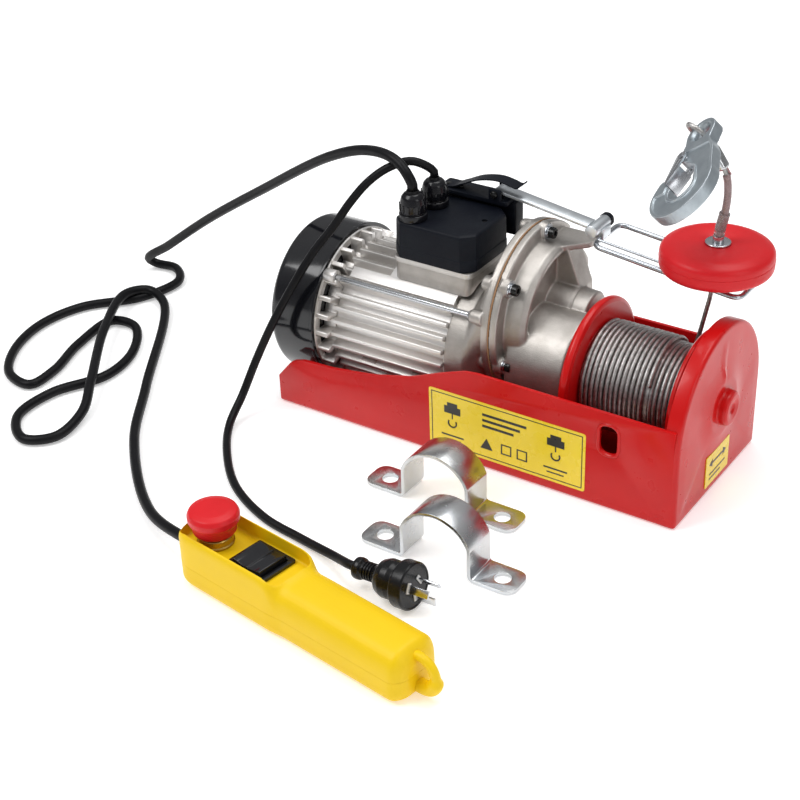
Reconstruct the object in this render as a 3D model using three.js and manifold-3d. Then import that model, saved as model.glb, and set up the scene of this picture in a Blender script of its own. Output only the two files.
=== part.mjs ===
// Electric wire rope hoist, shown lying on its mounting tray with the hook end up.
// Units are millimetres. X runs along the motor and drum, Y to the back, +Z up.
// The origin is the centre of the underside of the tray.
import * as THREE from "three";
import { mergeVertices } from "three/addons/utils/BufferGeometryUtils.js";
import Module from "manifold-3d";

const wasm = await Module();
wasm.setup();

// ---- Driving dimensions ----
const GAP = 0.3; // clearance between touching pieces
const TRAY = { length: 390, width: 155, sheet: 3, wall: 89.5, archCentre: 68.4 };
const TRAY_X = TRAY.length / 2;
const TRAY_Y = TRAY.width / 2;
const SLOT = { x: 134.5, z: 65.4, width: 16, height: 26 };
const RIM_DEPTH = 13;
const DRIVE_Z = 76; // height of the common axis of motor and drum
const SHAFT_R = 9;
const DRUM_SHAFT_R = 10;

const GEAR = { module: 1.875, pinionTeeth: 8, wheelTeeth: 40, width: 10 };
const CENTRES = (GEAR.module * (GEAR.pinionTeeth + GEAR.wheelTeeth)) / 2;
const MESH_ANGLE = THREE.MathUtils.degToRad(50); // from +Y towards +Z, motor axis to idler axis
const IDLER = {
  y: CENTRES * Math.cos(MESH_ANGLE),
  z: DRIVE_Z + CENTRES * Math.sin(MESH_ANGLE),
};
const FIRST_STAGE_X = 12;
const SECOND_STAGE_X = 32;

const FLANGE = { y: 23, z: 106, r: 76, flatY: 73.5 };
const BOLT_CIRCLE = 69.6;
const BOLT_ANGLES = [85, 142, 200, 257];
const TIE_ROD = { y: -47, z: 123.8, r: 2.5 };

const DRUM = { left: 79, right: 178, leftR: 64, rightR: 60, barrelR: 35 };
const ROPE_R = 2;
const ROPE_LAYERS = { fullR: 46, partR: 42.5, from: 88.3, step: 148, to: 171.5 };

const LID = { x0: -98.6, x1: -18.3, y0: -35, y1: 34.5, z0: 152, z1: 185, wall: 2.5, chamfer: 8 };
const GLANDS = { gland_pendant: [-82, -22], gland_mains: [-81, 10] };
const GLAND_TOP = 211;

const LEVER = { x: -34, y: 40, z: 197, width: 14 };
const LOOP_ROD_R = 2.25;
const WEIGHT = { x: 163, y: 45, z0: 169.5, z1: 193.5, r: 46, rounding: 10 };
const ROPE_Y = WEIGHT.y;

const HOOK_EYE = new THREE.Vector3(145.5, 45, 280.8);
const HOOK_LONG = new THREE.Vector3(0.177, -0.92, -0.349).normalize(); // from the eye to the bowl
const HOOK_SIDE = new THREE.Vector3(0.799, -0.072, 0.596); // roughly across the hook
const HOOK_THICK = 10;
const BOWL = { v: 62, inner: 12, outer: 30 };
const FERRULE_FOOT = new THREE.Vector3(164, 45, 257);
const FERRULE_TOP = new THREE.Vector3(153, 45, 272);

const PENDANT = { x: 13, y: -325, yaw: -8.7, length: 233, grip: 46, head: 50, split: 20 };
const TRAY_FACE_Z = 36; // height of the sunken control face of the pendant
const ESTOP_X = -89;
const ROCKER_X = -42;

const PLUG = { x: 73, y: -265, z: 20, r: 19, yaw: -3.1, pitch: -5.2, length: 55 };
const CLAMP_STRIP = { width: 30, sheet: 3, arcR: 34, legX: 32, arcZ: 17 };
const CLAMPS = [
  { name: "saddle_clamp_1", x: 60, y: -202.5, left: -73.4, right: 68, holes: [-56.2, 52] },
  { name: "saddle_clamp_2", x: 15.7, y: -134.2, left: -70.7, right: 72.3, holes: [-53.1, 55.3] },
];
const PENDANT_CORD_R = 4.5;
const MAINS_CORD_R = 3.7;

// ---- Materials ----
const paint = (color, roughness, metalness = 0) =>
  new THREE.MeshStandardMaterial({ color, roughness, metalness });
const RED_PAINT = paint(0xc8161a, 0.35);
const CAST_ALUMINIUM = paint(0xb4aea6, 0.4, 0.9);
const STEEL = paint(0x9a9b9c, 0.35, 0.9);
const ZINC = paint(0xb9bec4, 0.3, 0.95);
const COPPER = paint(0xa55a2c, 0.4, 0.9);
const BRASS = paint(0xb08a3c, 0.35, 0.95);
const GASKET_PAPER = paint(0x8a6a48, 0.9);
const BLACK_PLASTIC = paint(0x14161a, 0.5);
const BLACK_RUBBER = paint(0x17181b, 0.7);
const YELLOW_PLASTIC = paint(0xf2c414, 0.45);
const RED_PLASTIC = paint(0xd8202a, 0.45);
const GALVANISED = paint(0x8d9498, 0.45, 0.85);

// ---- Solids ----
function solidFrom(positions, triangles) {
  return new wasm.Manifold(
    new wasm.Mesh({ numProp: 3, vertProperties: positions, triVerts: triangles }),
  );
}

// A closed three.js geometry as a solid whose faces point out.
function toSolid(geometry) {
  const plain = geometry.index ? geometry.toNonIndexed() : geometry;
  const bare = new THREE.BufferGeometry();
  bare.setAttribute("position", plain.getAttribute("position"));
  const merged = mergeVertices(bare, 1e-3);
  const triangles = [];
  for (let i = 0; i < merged.index.count; i += 3) {
    const corners = [0, 1, 2].map((k) => merged.index.getX(i + k));
    if (new Set(corners).size === 3) triangles.push(...corners);
  }
  const positions = merged.attributes.position.array;
  const solid = solidFrom(positions, new Uint32Array(triangles));
  return solid.volume() > 0 ? solid : solidFrom(positions, new Uint32Array(triangles.reverse()));
}

function toMesh(name, solid, material) {
  const data = solid.getMesh();
  const geometry = new THREE.BufferGeometry();
  geometry.setAttribute("position", new THREE.BufferAttribute(data.vertProperties, 3));
  geometry.setIndex(new THREE.BufferAttribute(data.triVerts, 1));
  geometry.computeVertexNormals();
  const mesh = new THREE.Mesh(geometry, material);
  mesh.name = name;
  return mesh;
}

const joined = (...solids) => solids.reduce((whole, next) => whole.add(next));
const cut = (solid, ...tools) => tools.reduce((left, tool) => left.subtract(tool), solid);

function block(x0, x1, y0, y1, z0, z1) {
  const box = new THREE.BoxGeometry(x1 - x0, y1 - y0, z1 - z0);
  return toSolid(box.translate((x0 + x1) / 2, (y0 + y1) / 2, (z0 + z1) / 2));
}

// A profile of [radius, x] points turned about a line parallel to X through (y, z).
function turnedX(profile, segments, y = 0, z = DRIVE_Z) {
  const points = profile.map(([r, x]) => new THREE.Vector2(r, x));
  const lathe = new THREE.LatheGeometry(points, segments).rotateZ(-Math.PI / 2);
  return toSolid(lathe.translate(0, y, z));
}

// A profile of [radius, z] points turned about a vertical line through (x, y).
function turnedZ(profile, segments, x = 0, y = 0) {
  const points = profile.map(([r, h]) => new THREE.Vector2(r, h));
  return toSolid(new THREE.LatheGeometry(points, segments).rotateX(Math.PI / 2).translate(x, y, 0));
}

const rodX = (r, x0, x1, segments, y = 0, z = DRIVE_Z) =>
  turnedX([[0, x0], [r, x0], [r, x1], [0, x1]], segments, y, z);
const ringX = (inner, outer, x0, x1, segments, y = 0, z = DRIVE_Z) =>
  turnedX([[inner, x0], [outer, x0], [outer, x1], [inner, x1], [inner, x0]], segments, y, z);
const rodZ = (r, z0, z1, segments, x = 0, y = 0) =>
  turnedZ([[0, z0], [r, z0], [r, z1], [0, z1]], segments, x, y);

// An outline in the named plane, extruded along the remaining axis between two values.
const PLANES = {
  xy: new THREE.Matrix4(),
  xz: new THREE.Matrix4().makeRotationX(Math.PI / 2),
  yz: new THREE.Matrix4().makeBasis(
    new THREE.Vector3(0, 1, 0),
    new THREE.Vector3(0, 0, 1),
    new THREE.Vector3(1, 0, 0),
  ),
};
function extruded(plane, shape, from, to, curveSegments = 8) {
  const geometry = new THREE.ExtrudeGeometry(shape, {
    depth: to - from,
    bevelEnabled: false,
    curveSegments,
  });
  geometry.applyMatrix4(PLANES[plane]);
  const shift = { xy: [0, 0, from], xz: [0, to, 0], yz: [from, 0, 0] }[plane];
  return toSolid(geometry.translate(...shift));
}

const outline = (points) => new THREE.Shape(points.map(([a, b]) => new THREE.Vector2(a, b)));

function roundedOutline(x0, x1, y0, y1, r) {
  const shape = new THREE.Shape();
  shape.absarc(x1 - r, y0 + r, r, -Math.PI / 2, 0);
  shape.absarc(x1 - r, y1 - r, r, 0, Math.PI / 2);
  shape.absarc(x0 + r, y1 - r, r, Math.PI / 2, Math.PI);
  shape.absarc(x0 + r, y0 + r, r, Math.PI, Math.PI * 1.5);
  return shape;
}

function polygonOutline(r, sides) {
  const corner = (_, i) => [
    r * Math.cos((2 * Math.PI * i) / sides),
    r * Math.sin((2 * Math.PI * i) / sides),
  ];
  return outline(Array.from({ length: sides }, corner));
}

// Teeth standing on a round body: each has a root width, a tip width and straight flanks.
function toothedOutline(teeth, rootR, tipR, rootShare, tipShare, phase) {
  const pitch = (2 * Math.PI) / teeth;
  const points = [];
  for (let i = 0; i < teeth; i += 1) {
    const angle = phase + i * pitch;
    const place = (r, offset) =>
      points.push([r * Math.cos(angle + offset * pitch), r * Math.sin(angle + offset * pitch)]);
    place(rootR, -rootShare / 2);
    place(tipR, -tipShare / 2);
    place(tipR, tipShare / 2);
    place(rootR, rootShare / 2);
  }
  return outline(points);
}

// A round bar along a curve, closed at both ends.
function bar(curve, r, sides, steps) {
  const section = polygonOutline(r, sides);
  return toSolid(new THREE.ExtrudeGeometry(section, { extrudePath: curve, steps, bevelEnabled: false }));
}
const vectors = (points) => points.map(([x, y, z]) => new THREE.Vector3(x, y, z));
const smoothCurve = (points) => new THREE.CatmullRomCurve3(vectors(points), false, "centripetal");

// Straight runs between the points, with the corners rounded off.
function bentCurve(points, cornerR) {
  const corners = vectors(points);
  const path = new THREE.CurvePath();
  let start = corners[0];
  for (let i = 1; i < corners.length - 1; i += 1) {
    const [before, corner, after] = [corners[i - 1], corners[i], corners[i + 1]];
    const into = corner.clone().add(before.clone().sub(corner).setLength(cornerR));
    const out = corner.clone().add(after.clone().sub(corner).setLength(cornerR));
    path.add(new THREE.LineCurve3(start, into));
    path.add(new THREE.QuadraticBezierCurve3(into, corner, out));
    start = out;
  }
  path.add(new THREE.LineCurve3(start, corners.at(-1)));
  return path;
}

// ---- Tray ----
function archOutline(inset) {
  const half = TRAY_Y - inset;
  const shape = new THREE.Shape();
  shape.moveTo(-half, inset);
  shape.lineTo(half, inset);
  shape.absarc(0, TRAY.archCentre, half, 0, Math.PI);
  return shape;
}

function sideWall(y0) {
  const profile = [
    [-TRAY_X, 0], [TRAY_X, 0], [TRAY_X, TRAY.wall], [12, TRAY.wall], [0, 88], [-23, 79.5],
    [-53, 67], [-92, 57], [-114, 53], [-136, 51], [-166, 50], [-179, 46], [-TRAY_X, 27],
  ];
  const shape = outline(profile);
  const [w, h] = [SLOT.width / 2, SLOT.height / 2];
  shape.holes.push(roundedOutline(SLOT.x - w, SLOT.x + w, SLOT.z - h, SLOT.z + h, w - 0.01));
  return extruded("xz", shape, y0, y0 + TRAY.sheet, 3);
}

function frameTray() {
  const base = block(-TRAY_X, TRAY_X, -TRAY_Y, TRAY_Y, 0, TRAY.sheet);
  const sides = [sideWall(-TRAY_Y), sideWall(TRAY_Y - TRAY.sheet)];
  const endPlate = extruded("yz", archOutline(0), TRAY_X - TRAY.sheet, TRAY_X, 14);
  const rimOuter = extruded("yz", archOutline(0), TRAY_X - RIM_DEPTH, TRAY_X, 14);
  const rimInner = extruded("yz", archOutline(TRAY.sheet), TRAY_X - RIM_DEPTH - 1, TRAY_X + 1, 14);
  const solid = joined(base, ...sides, endPlate, cut(rimOuter, rimInner));
  const bossHole = rodX(15 + GAP, TRAY_X - 10, TRAY_X + 1, 20);
  return toMesh("frame_tray", cut(solid, bossHole), RED_PAINT);
}

function endBoss() {
  const profile = [
    [0, 203], [12.3, 203], [12.3, 184], [22, 184], [22, 191.7], [15, 191.7], [15, 205], [13, 207], [0, 207],
  ];
  return toMesh("end_boss", turnedX(profile, 20), BLACK_PLASTIC);
}

const endBush = () =>
  toMesh("drum_end_bush", ringX(DRUM_SHAFT_R + GAP, 12, 185, 202, 16), BRASS);

// ---- Motor ----
const FIN_COUNT = 32;
const HOUSING = { x0: -145, x1: -32, boreR: 50, coreR: 54, finR: 63, saddleX: -101 };

function motorHousing() {
  const finned = toothedOutline(FIN_COUNT, HOUSING.coreR, HOUSING.finR, 0.36, 0.22, 0);
  const wedge = (from, to, x0) => {
    const shape = new THREE.Shape();
    shape.moveTo(0, 0);
    shape.lineTo(HOUSING.finR * Math.cos(from), HOUSING.finR * Math.sin(from));
    shape.absarc(0, 0, HOUSING.finR, from, to);
    return extruded("yz", shape, x0, HOUSING.x1).translate(0, 0, DRIVE_Z);
  };
  const body = [
    extruded("yz", finned, HOUSING.x0, HOUSING.x1).translate(0, 0, DRIVE_Z),
    wedge(0.91, Math.PI - 0.91, HOUSING.saddleX),
    wedge(Math.PI - 1.03, Math.PI - 0.88, HOUSING.x0),
    wedge(0.88, 1.03, HOUSING.x0),
  ];
  const footHeight = [TRAY.sheet + GAP, DRIVE_Z - HOUSING.coreR + 8];
  const feet = [-132, -62].map((x) => block(x, x + 20, -38, 38, ...footHeight));
  const bore = rodX(HOUSING.boreR, HOUSING.x0 - 1, HOUSING.x1 + 1, 28);
  return toMesh("motor_housing", cut(joined(...body, ...feet), bore), CAST_ALUMINIUM);
}

// Round flange of the gearbox, cut flat where it meets the back wall of the tray.
function gearboxDisc(x0, x1, r, chamfer) {
  const profile = [[0, x0], [r, x0], [r, x1 - chamfer], [r - chamfer, x1], [0, x1]];
  const disc = turnedX(profile, 40, FLANGE.y, FLANGE.z);
  return cut(disc, block(x0 - 1, x1 + 1, FLANGE.flatY, FLANGE.flatY + 50, 0, 200));
}

function motorBell() {
  const collar = { r: 59, x: -14 };
  const neck = rodX(collar.r, HOUSING.x1 + GAP, collar.x + 2, 28);
  const coneLength = 1.5 - collar.x;
  const cone = new THREE.CylinderGeometry(70, collar.r, coneLength, 28).rotateZ(-Math.PI / 2);
  const slope = new THREE.Matrix4().makeShear(
    FLANGE.y / coneLength, (FLANGE.z - DRIVE_Z) / coneLength, 0, 0, 0, 0,
  );
  cone.translate(coneLength / 2, 0, 0).applyMatrix4(slope).translate(collar.x, 0, DRIVE_Z);
  const skirt = cut(toSolid(cone), block(-20, 10, FLANGE.flatY, 120, 0, 200));
  const rodBoss = rodX(6, -10, 2, 12, TIE_ROD.y, TIE_ROD.z);
  return toMesh(
    "motor_bell",
    cut(
      joined(neck, skirt, gearboxDisc(1, 8, FLANGE.r, 0.8), rodBoss),
      rodX(HOUSING.boreR, HOUSING.x1 - 1, -11.7, 24),
      rodX(SHAFT_R + 1, -12, 9, 16),
      rodX(20 + GAP, -8.3, 9, 20),
      rodX(5.6, 2.2, 9, 12, IDLER.y, IDLER.z),
      rodX(TIE_ROD.r + GAP, -11, 4, 8, TIE_ROD.y, TIE_ROD.z),
    ),
    CAST_ALUMINIUM,
  );
}

const SHIELD = { x0: -157.7, x1: -145.3, discR: 55, combR: 68.4, spigotR: 69.2 };

function rearEndShield() {
  const comb = toothedOutline(26, SHIELD.discR, SHIELD.combR, 0.3, 0.26, 0);
  const rodBoss = rodX(6.2, SHIELD.x0, -147, 12, TIE_ROD.y, TIE_ROD.z);
  const body = joined(
    extruded("yz", comb, SHIELD.x0, SHIELD.x1).translate(0, 0, DRIVE_Z),
    ringX(SHIELD.combR - 6, SHIELD.spigotR, -164, SHIELD.x0 + 0.5, 24),
    rodBoss,
  );
  return toMesh(
    "rear_end_shield",
    cut(
      body,
      rodX(SHAFT_R + 1, SHIELD.x0 - 1, SHIELD.x1 + 1, 16),
      rodX(20 + GAP, SHIELD.x0 - 1, -147.7, 20),
      rodX(TIE_ROD.r + GAP, -165, -140, 8, TIE_ROD.y, TIE_ROD.z),
    ),
    CAST_ALUMINIUM,
  );
}

function fanCowl() {
  const profile = [
    [69.5, -160], [72.3, -160], [72.3, -201], [68.5, -206.5], [40, -212.3], [0, -214],
    [0, -212.3], [39.5, -210.7], [66.8, -205], [69.5, -200.5], [69.5, -160],
  ];
  const vents = Array.from({ length: 8 }, (_, i) =>
    block(-218, -203.5, 26, 56, -2.5, 2.5)
      .rotate([45 * i, 0, 0])
      .translate(0, 0, DRIVE_Z),
  );
  return toMesh("fan_cowl", cut(turnedX(profile, 32), ...vents), BLACK_PLASTIC);
}

function coolingFan() {
  const blades = Array.from({ length: 6 }, (_, i) =>
    block(-189, -173, 12, 60, -1.2, 1.2).rotate([60 * i, 0, 0]).translate(0, 0, DRIVE_Z),
  );
  const plate = ringX(13, 58, -175, -172, 20);
  const hub = ringX(SHAFT_R + GAP, 14, -190, -172, 16);
  return toMesh("cooling_fan", joined(hub, plate, ...blades), BLACK_PLASTIC);
}

function motorShaft() {
  const pinion = toothedOutline(GEAR.pinionTeeth, 5.9, 8.7, 0.5, 0.18, MESH_ANGLE);
  const teeth = extruded("yz", pinion, FIRST_STAGE_X, FIRST_STAGE_X + GEAR.width);
  const body = joined(
    rodX(SHAFT_R, -190, FIRST_STAGE_X - 2, 16),
    rodX(5.5, FIRST_STAGE_X - 3, FIRST_STAGE_X + 1, 12),
    teeth.translate(0, 0, DRIVE_Z),
  );
  return toMesh("motor_shaft", body, STEEL);
}

function motorInternals() {
  const bearing = (x0, x1) => ringX(SHAFT_R + GAP, 20, x0, x1, 16);
  const winding = (x0, x1) => ringX(36, 47, x0, x1, 20);
  return [
    toMesh("stator_core", ringX(33, HOUSING.boreR - GAP, -125, -55, 28), STEEL),
    toMesh("stator_winding_rear", winding(-143, -125 - GAP), COPPER),
    toMesh("stator_winding_front", winding(-55 + GAP, -36), COPPER),
    toMesh("motor_bearing_rear", bearing(-157, -148), STEEL),
    toMesh("motor_bearing_front", bearing(-8, 0), STEEL),
    toMesh("brake_coil", ringX(15, 34, -24, -12, 20), BLACK_PLASTIC),
    toMesh("rotor_core", ringX(SHAFT_R + GAP, 31.7, -125, -55, 20), STEEL),
    toMesh("brake_disc", ringX(SHAFT_R + GAP, 34, -30, -26, 20), STEEL),
    toMesh("tie_rod", rodX(TIE_ROD.r, -157, 3, 8, TIE_ROD.y, TIE_ROD.z), ZINC),
  ];
}

// ---- Gearbox ----
const COVER_X = 9.6;
const RAISED = { r: 63, rimR: 50, top: 34, floor: 26.5 };

function gearboxGasket() {
  const opening = joined(
    rodX(41, 7, 11, 24, IDLER.y, IDLER.z),
    rodX(24, 7, 11, 16),
    rodX(3, 7, 11, 8, ...boltPlace(200)),
  );
  return toMesh("gearbox_gasket", cut(gearboxDisc(8 + GAP, 9.3, FLANGE.r, 0), opening), GASKET_PAPER);
}

function boltPlace(degrees) {
  const angle = THREE.MathUtils.degToRad(degrees);
  return [FLANGE.y + BOLT_CIRCLE * Math.cos(angle), FLANGE.z + BOLT_CIRCLE * Math.sin(angle)];
}

function coverEar() {
  const tongue = new THREE.Shape();
  tongue.moveTo(12, -10);
  tongue.lineTo(18, -10);
  tongue.quadraticCurveTo(22, 18, 40, 34);
  tongue.quadraticCurveTo(54, 50, 50, 57);
  tongue.quadraticCurveTo(48, 61, 12, 62);
  const gusset = outline([[14, 120], [14, 164], [38, 164], [50, 130], [50, 118]]);
  return joined(
    extruded("xy", tongue, 161.5, 166.5, 5),
    extruded("xz", gusset, 30, 52),
  );
}

function gearboxCover() {
  const back = block(COVER_X - 1, 60, FLANGE.flatY, 140, 0, 200);
  const raised = turnedX(
    [
      [0, 15], [RAISED.r, 15], [RAISED.r, 28], [59, RAISED.top], [52, RAISED.top],
      [RAISED.rimR, RAISED.top - 2], [RAISED.rimR, RAISED.floor], [0, RAISED.floor],
    ],
    32, FLANGE.y, FLANGE.z,
  );
  const output = turnedX([[0, 26.2], [46, 26.2], [45, 40], [44, 71], [42, 73], [0, 73]], 28);
  const idlerBoss = turnedX(
    [[0, 20], [21, 20], [20, 50], [19, 51], [19, 64], [17, 65.5], [0, 65.5]],
    18, IDLER.y, IDLER.z,
  );
  const boltBosses = BOLT_ANGLES.map((a) => rodX(7, 14, 18.5, 12, ...boltPlace(a)));
  const shell = joined(
    gearboxDisc(COVER_X, 16, FLANGE.r, 1.2), cut(raised, back), output, idlerBoss, coverEar(), ...boltBosses,
  );
  return toMesh(
    "gearbox_cover",
    cut(
      shell,
      rodX(41, COVER_X - 1, 24, 24, IDLER.y, IDLER.z),
      rodX(14, COVER_X - 1, 24, 12),
      rodX(14, 23, 45, 12, IDLER.y, IDLER.z),
      rodX(41, 29.5, 45, 24),
      rodX(5.6, 44, 52, 12, IDLER.y, IDLER.z),
      rodX(DRUM_SHAFT_R + 2, 44, 60, 12),
      rodX(20 + GAP, 59.7, 74, 20),
    ),
    CAST_ALUMINIUM,
  );
}

function coverBolts() {
  return BOLT_ANGLES.map((degrees, i) => {
    const place = boltPlace(degrees);
    const head = turnedX(
      [[0, 18.8], [6.1, 18.8], [6.1, 20], [4.6, 20], [4.6, 25.2], [2.3, 25.2], [2.3, 22.5], [0, 22.5]],
      10, ...place,
    );
    return toMesh(`cover_bolt_${i + 1}`, head, BLACK_PLASTIC);
  });
}

function gearWheel(name, x, y, z, boreR, phase) {
  const shape = toothedOutline(GEAR.wheelTeeth, 35.7, 38.6, 0.5, 0.2, phase);
  const bore = rodX(boreR, x - 1, x + GEAR.width + 1, 16, y, z);
  const body = extruded("yz", shape, x, x + GEAR.width).translate(0, y, z);
  return toMesh(name, cut(body, bore), STEEL);
}

function gearTrain() {
  const halfWheelPitch = Math.PI / GEAR.wheelTeeth;
  const backToDrive = MESH_ANGLE + Math.PI;
  const idlerTeeth = toothedOutline(GEAR.pinionTeeth, 5.9, 8.7, 0.5, 0.18, backToDrive);
  const idlerPinion = extruded("yz", idlerTeeth, SECOND_STAGE_X, SECOND_STAGE_X + GEAR.width);
  const idlerShaft = joined(
    rodX(5.3, 2.5, 50, 12, IDLER.y, IDLER.z),
    idlerPinion.translate(0, IDLER.y, IDLER.z),
  );
  return [
    gearWheel("idler_gear", FIRST_STAGE_X, IDLER.y, IDLER.z, 5.6, backToDrive + halfWheelPitch),
    toMesh("idler_pinion_shaft", idlerShaft, STEEL),
    gearWheel("output_gear", SECOND_STAGE_X, 0, DRIVE_Z, DRUM_SHAFT_R + GAP, MESH_ANGLE + halfWheelPitch),
    toMesh("output_bearing", ringX(DRUM_SHAFT_R + GAP, 20, 60, 72, 16), STEEL),
    toMesh("drum_shaft", rodX(DRUM_SHAFT_R, 31, 201.5, 16), STEEL),
  ];
}

// ---- Drum and rope ----
function ropeDrum() {
  const bore = DRUM_SHAFT_R + GAP;
  const profile = [
    [bore, 81], [46, 82], [52, 80], [58, DRUM.left], [62, 80.5], [DRUM.leftR, 83.5], [62.5, 86.5],
    [58, 87.8], [DRUM.barrelR, 87.8], [DRUM.barrelR, 172.2], [56, 172.2], [DRUM.rightR, 173.5],
    [DRUM.rightR, 177], [58, DRUM.right], [22, DRUM.right], [20, 182], [bore, 182], [bore, 81],
  ];
  return toMesh("rope_drum", turnedX(profile, 28), RED_PAINT);
}

function woundRope() {
  const inner = DRUM.barrelR + GAP;
  const { fullR, partR, from, step, to } = ROPE_LAYERS;
  const profile = [
    [inner, from], [fullR, from], [fullR, step], [partR, step], [partR, to], [inner, to], [inner, from],
  ];
  return toMesh("wound_rope", turnedX(profile, 28), STEEL);
}

// Straight, leaning run of rope from above the drum to the underside of the weight.
function ropeTail() {
  const run = smoothCurve([
    [150.6, ROPE_Y, 97], [153.5, ROPE_Y, 112], [157, ROPE_Y, 130], [159.8, ROPE_Y, 145],
    [162.3, ROPE_Y, WEIGHT.z0 - GAP],
  ]);
  return toMesh("rope_tail", bar(run, ROPE_R, 8, 8), STEEL);
}

function limitWeight() {
  const { r, rounding, z0, z1 } = WEIGHT;
  const profile = [[0, z0]];
  const steps = 3;
  const arc = (centreZ, from) => {
    for (let i = 0; i <= steps; i += 1) {
      const angle = from + (Math.PI / 2) * (i / steps);
      profile.push([r - rounding + rounding * Math.cos(angle), centreZ + rounding * Math.sin(angle)]);
    }
  };
  arc(z0 + rounding, -Math.PI / 2);
  arc(z1 - rounding, 0);
  profile.push([13, z1], [13, z1 + 3], [9, z1 + 3], [9, z1 + 7], [0, z1 + 7]);
  return toMesh("limit_weight", turnedZ(profile, 24, WEIGHT.x, WEIGHT.y), RED_PLASTIC);
}

function hookRope() {
  const run = smoothCurve([
    [163.4, ROPE_Y, WEIGHT.z1 + 7.8], [164.2, ROPE_Y, 206], [166.5, ROPE_Y, 218],
    [168, ROPE_Y, 236], [166.4, ROPE_Y, 250],
    [FERRULE_FOOT.x + 0.6, ROPE_Y, FERRULE_FOOT.z - 1],
  ]);
  return toMesh("hook_rope", bar(run, ROPE_R, 8, 8), STEEL);
}

function ferrule() {
  const length = FERRULE_TOP.distanceTo(FERRULE_FOOT);
  const shape = roundedOutline(-3.5, 3.5, -5.5, 5.5, 3.4);
  const mesh = toMesh("ferrule", extruded("xy", shape, 0, length, 3), ZINC);
  mesh.position.copy(FERRULE_FOOT);
  mesh.rotation.y = Math.atan2(FERRULE_TOP.x - FERRULE_FOOT.x, FERRULE_TOP.z - FERRULE_FOOT.z);
  return mesh;
}

// ---- Hook: u is across, v from the eye to the bowl, w through the thickness ----
const HOOK_ACROSS = HOOK_SIDE.clone()
  .addScaledVector(HOOK_LONG, -HOOK_SIDE.dot(HOOK_LONG))
  .normalize();
const HOOK_NORMAL = HOOK_ACROSS.clone().cross(HOOK_LONG).negate();
const hookPoint = (u, v, w) =>
  HOOK_EYE.clone()
    .addScaledVector(HOOK_ACROSS, u)
    .addScaledVector(HOOK_LONG, v)
    .addScaledVector(HOOK_NORMAL, w);

// The loop of rope runs through the eye and back past its far side, into the ferrule.
function ropeLoop() {
  const out = new THREE.Vector3().subVectors(FERRULE_TOP, FERRULE_FOOT).normalize();
  const foot = (dy, rise) => FERRULE_TOP.clone().addScaledVector(out, rise).add(new THREE.Vector3(0, dy, 0));
  const points = [
    foot(-2.7, 0.8), foot(-2.7, 2.5), hookPoint(0, 1, -3), hookPoint(-1, -1, 4),
    hookPoint(-4, -3, 9.5), hookPoint(-8.4, -6.3, 11.5), hookPoint(-12.8, -9.6, 8.5),
    hookPoint(-14.8, -11.1, 1), hookPoint(-14.4, -10.8, -5), hookPoint(-10, -7.5, -9.2),
    hookPoint(-4, -2.2, -9.6), foot(2.7, 2.4), foot(2.7, 0.8),
  ];
  const curve = new THREE.CatmullRomCurve3(points, false, "centripetal");
  return toMesh("rope_loop", bar(curve, ROPE_R, 8, 20), STEEL);
}

const LATCH_PIVOT = { u: -10, v: 25 };

function hookOutline() {
  const shape = new THREE.Shape();
  shape.moveTo(13, 12);
  shape.quadraticCurveTo(24, 26, 28, 44);
  shape.absarc(0, BOWL.v, BOWL.outer, -0.35, Math.PI, false);
  shape.quadraticCurveTo(-30, 50, -25, 44);
  shape.quadraticCurveTo(-21, 43, -19.5, 50);
  shape.absarc(0, BOWL.v, BOWL.inner, Math.PI + 0.3, -0.35, true);
  shape.quadraticCurveTo(12, 42, -3, 31);
  shape.lineTo(LATCH_PIVOT.u - 1, LATCH_PIVOT.v + 5);
  shape.lineTo(LATCH_PIVOT.u - 5, LATCH_PIVOT.v);
  shape.lineTo(-13, 12);
  shape.absarc(0, 0, 14, Math.PI - 0.3, 2 * Math.PI + 0.3, false);
  return shape;
}

function liftingHook() {
  const plate = extruded("xy", hookOutline(), -HOOK_THICK / 2, HOOK_THICK / 2, 7);
  const half = HOOK_THICK / 2 + 1;
  const eyeHole = turnedZ(
    [[0, -half], [11, -half], [8.2, -2.5], [7.6, 0], [8.2, 2.5], [11, half], [0, half]], 24,
  );
  const pin = rodZ(1.6, -7.6, 7.6, 10, LATCH_PIVOT.u, LATCH_PIVOT.v);
  return joined(cut(plate, eyeHole), pin);
}

function hookLatch() {
  const cheek = outline([[-14.5, 22], [-12, 19.5], [-7, 21], [-6.5, 27], [-12.5, 42], [-17.5, 40]]);
  const cheeks = [-7, 5.4].map((w) => extruded("xy", cheek, w, w + 1.6));
  const web = extruded("xy", outline([[-9.5, 35], [-7.8, 36], [-16.6, 52], [-18.3, 51]]), -7, 7);
  const hole = rodZ(1.6 + GAP, -8, 8, 10, LATCH_PIVOT.u, LATCH_PIVOT.v);
  return cut(joined(...cheeks, web), hole);
}

function hookGroup() {
  const group = new THREE.Group();
  group.matrixAutoUpdate = false;
  group.matrix
    .makeBasis(HOOK_ACROSS, HOOK_LONG, HOOK_NORMAL.clone().negate())
    .setPosition(HOOK_EYE);
  group.add(toMesh("lifting_hook", liftingHook(), GALVANISED), toMesh("hook_latch", hookLatch(), ZINC));
  return group;
}

// ---- Terminal box ----
const COVERED_R = HOUSING.finR + GAP;

function terminalBase() {
  const outer = block(LID.x0 + 1.6, LID.x1 - 1.7, LID.y0 + 1.5, LID.y1 - 1.5, 122, LID.z0 - GAP);
  const pocket = block(LID.x0 + 6, LID.x1 - 6, LID.y0 + 6, LID.y1 - 6, 141, LID.z0 + 1);
  return toMesh("terminal_base", cut(outer, rodX(COVERED_R, -150, 0, 48), pocket), CAST_ALUMINIUM);
}

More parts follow.
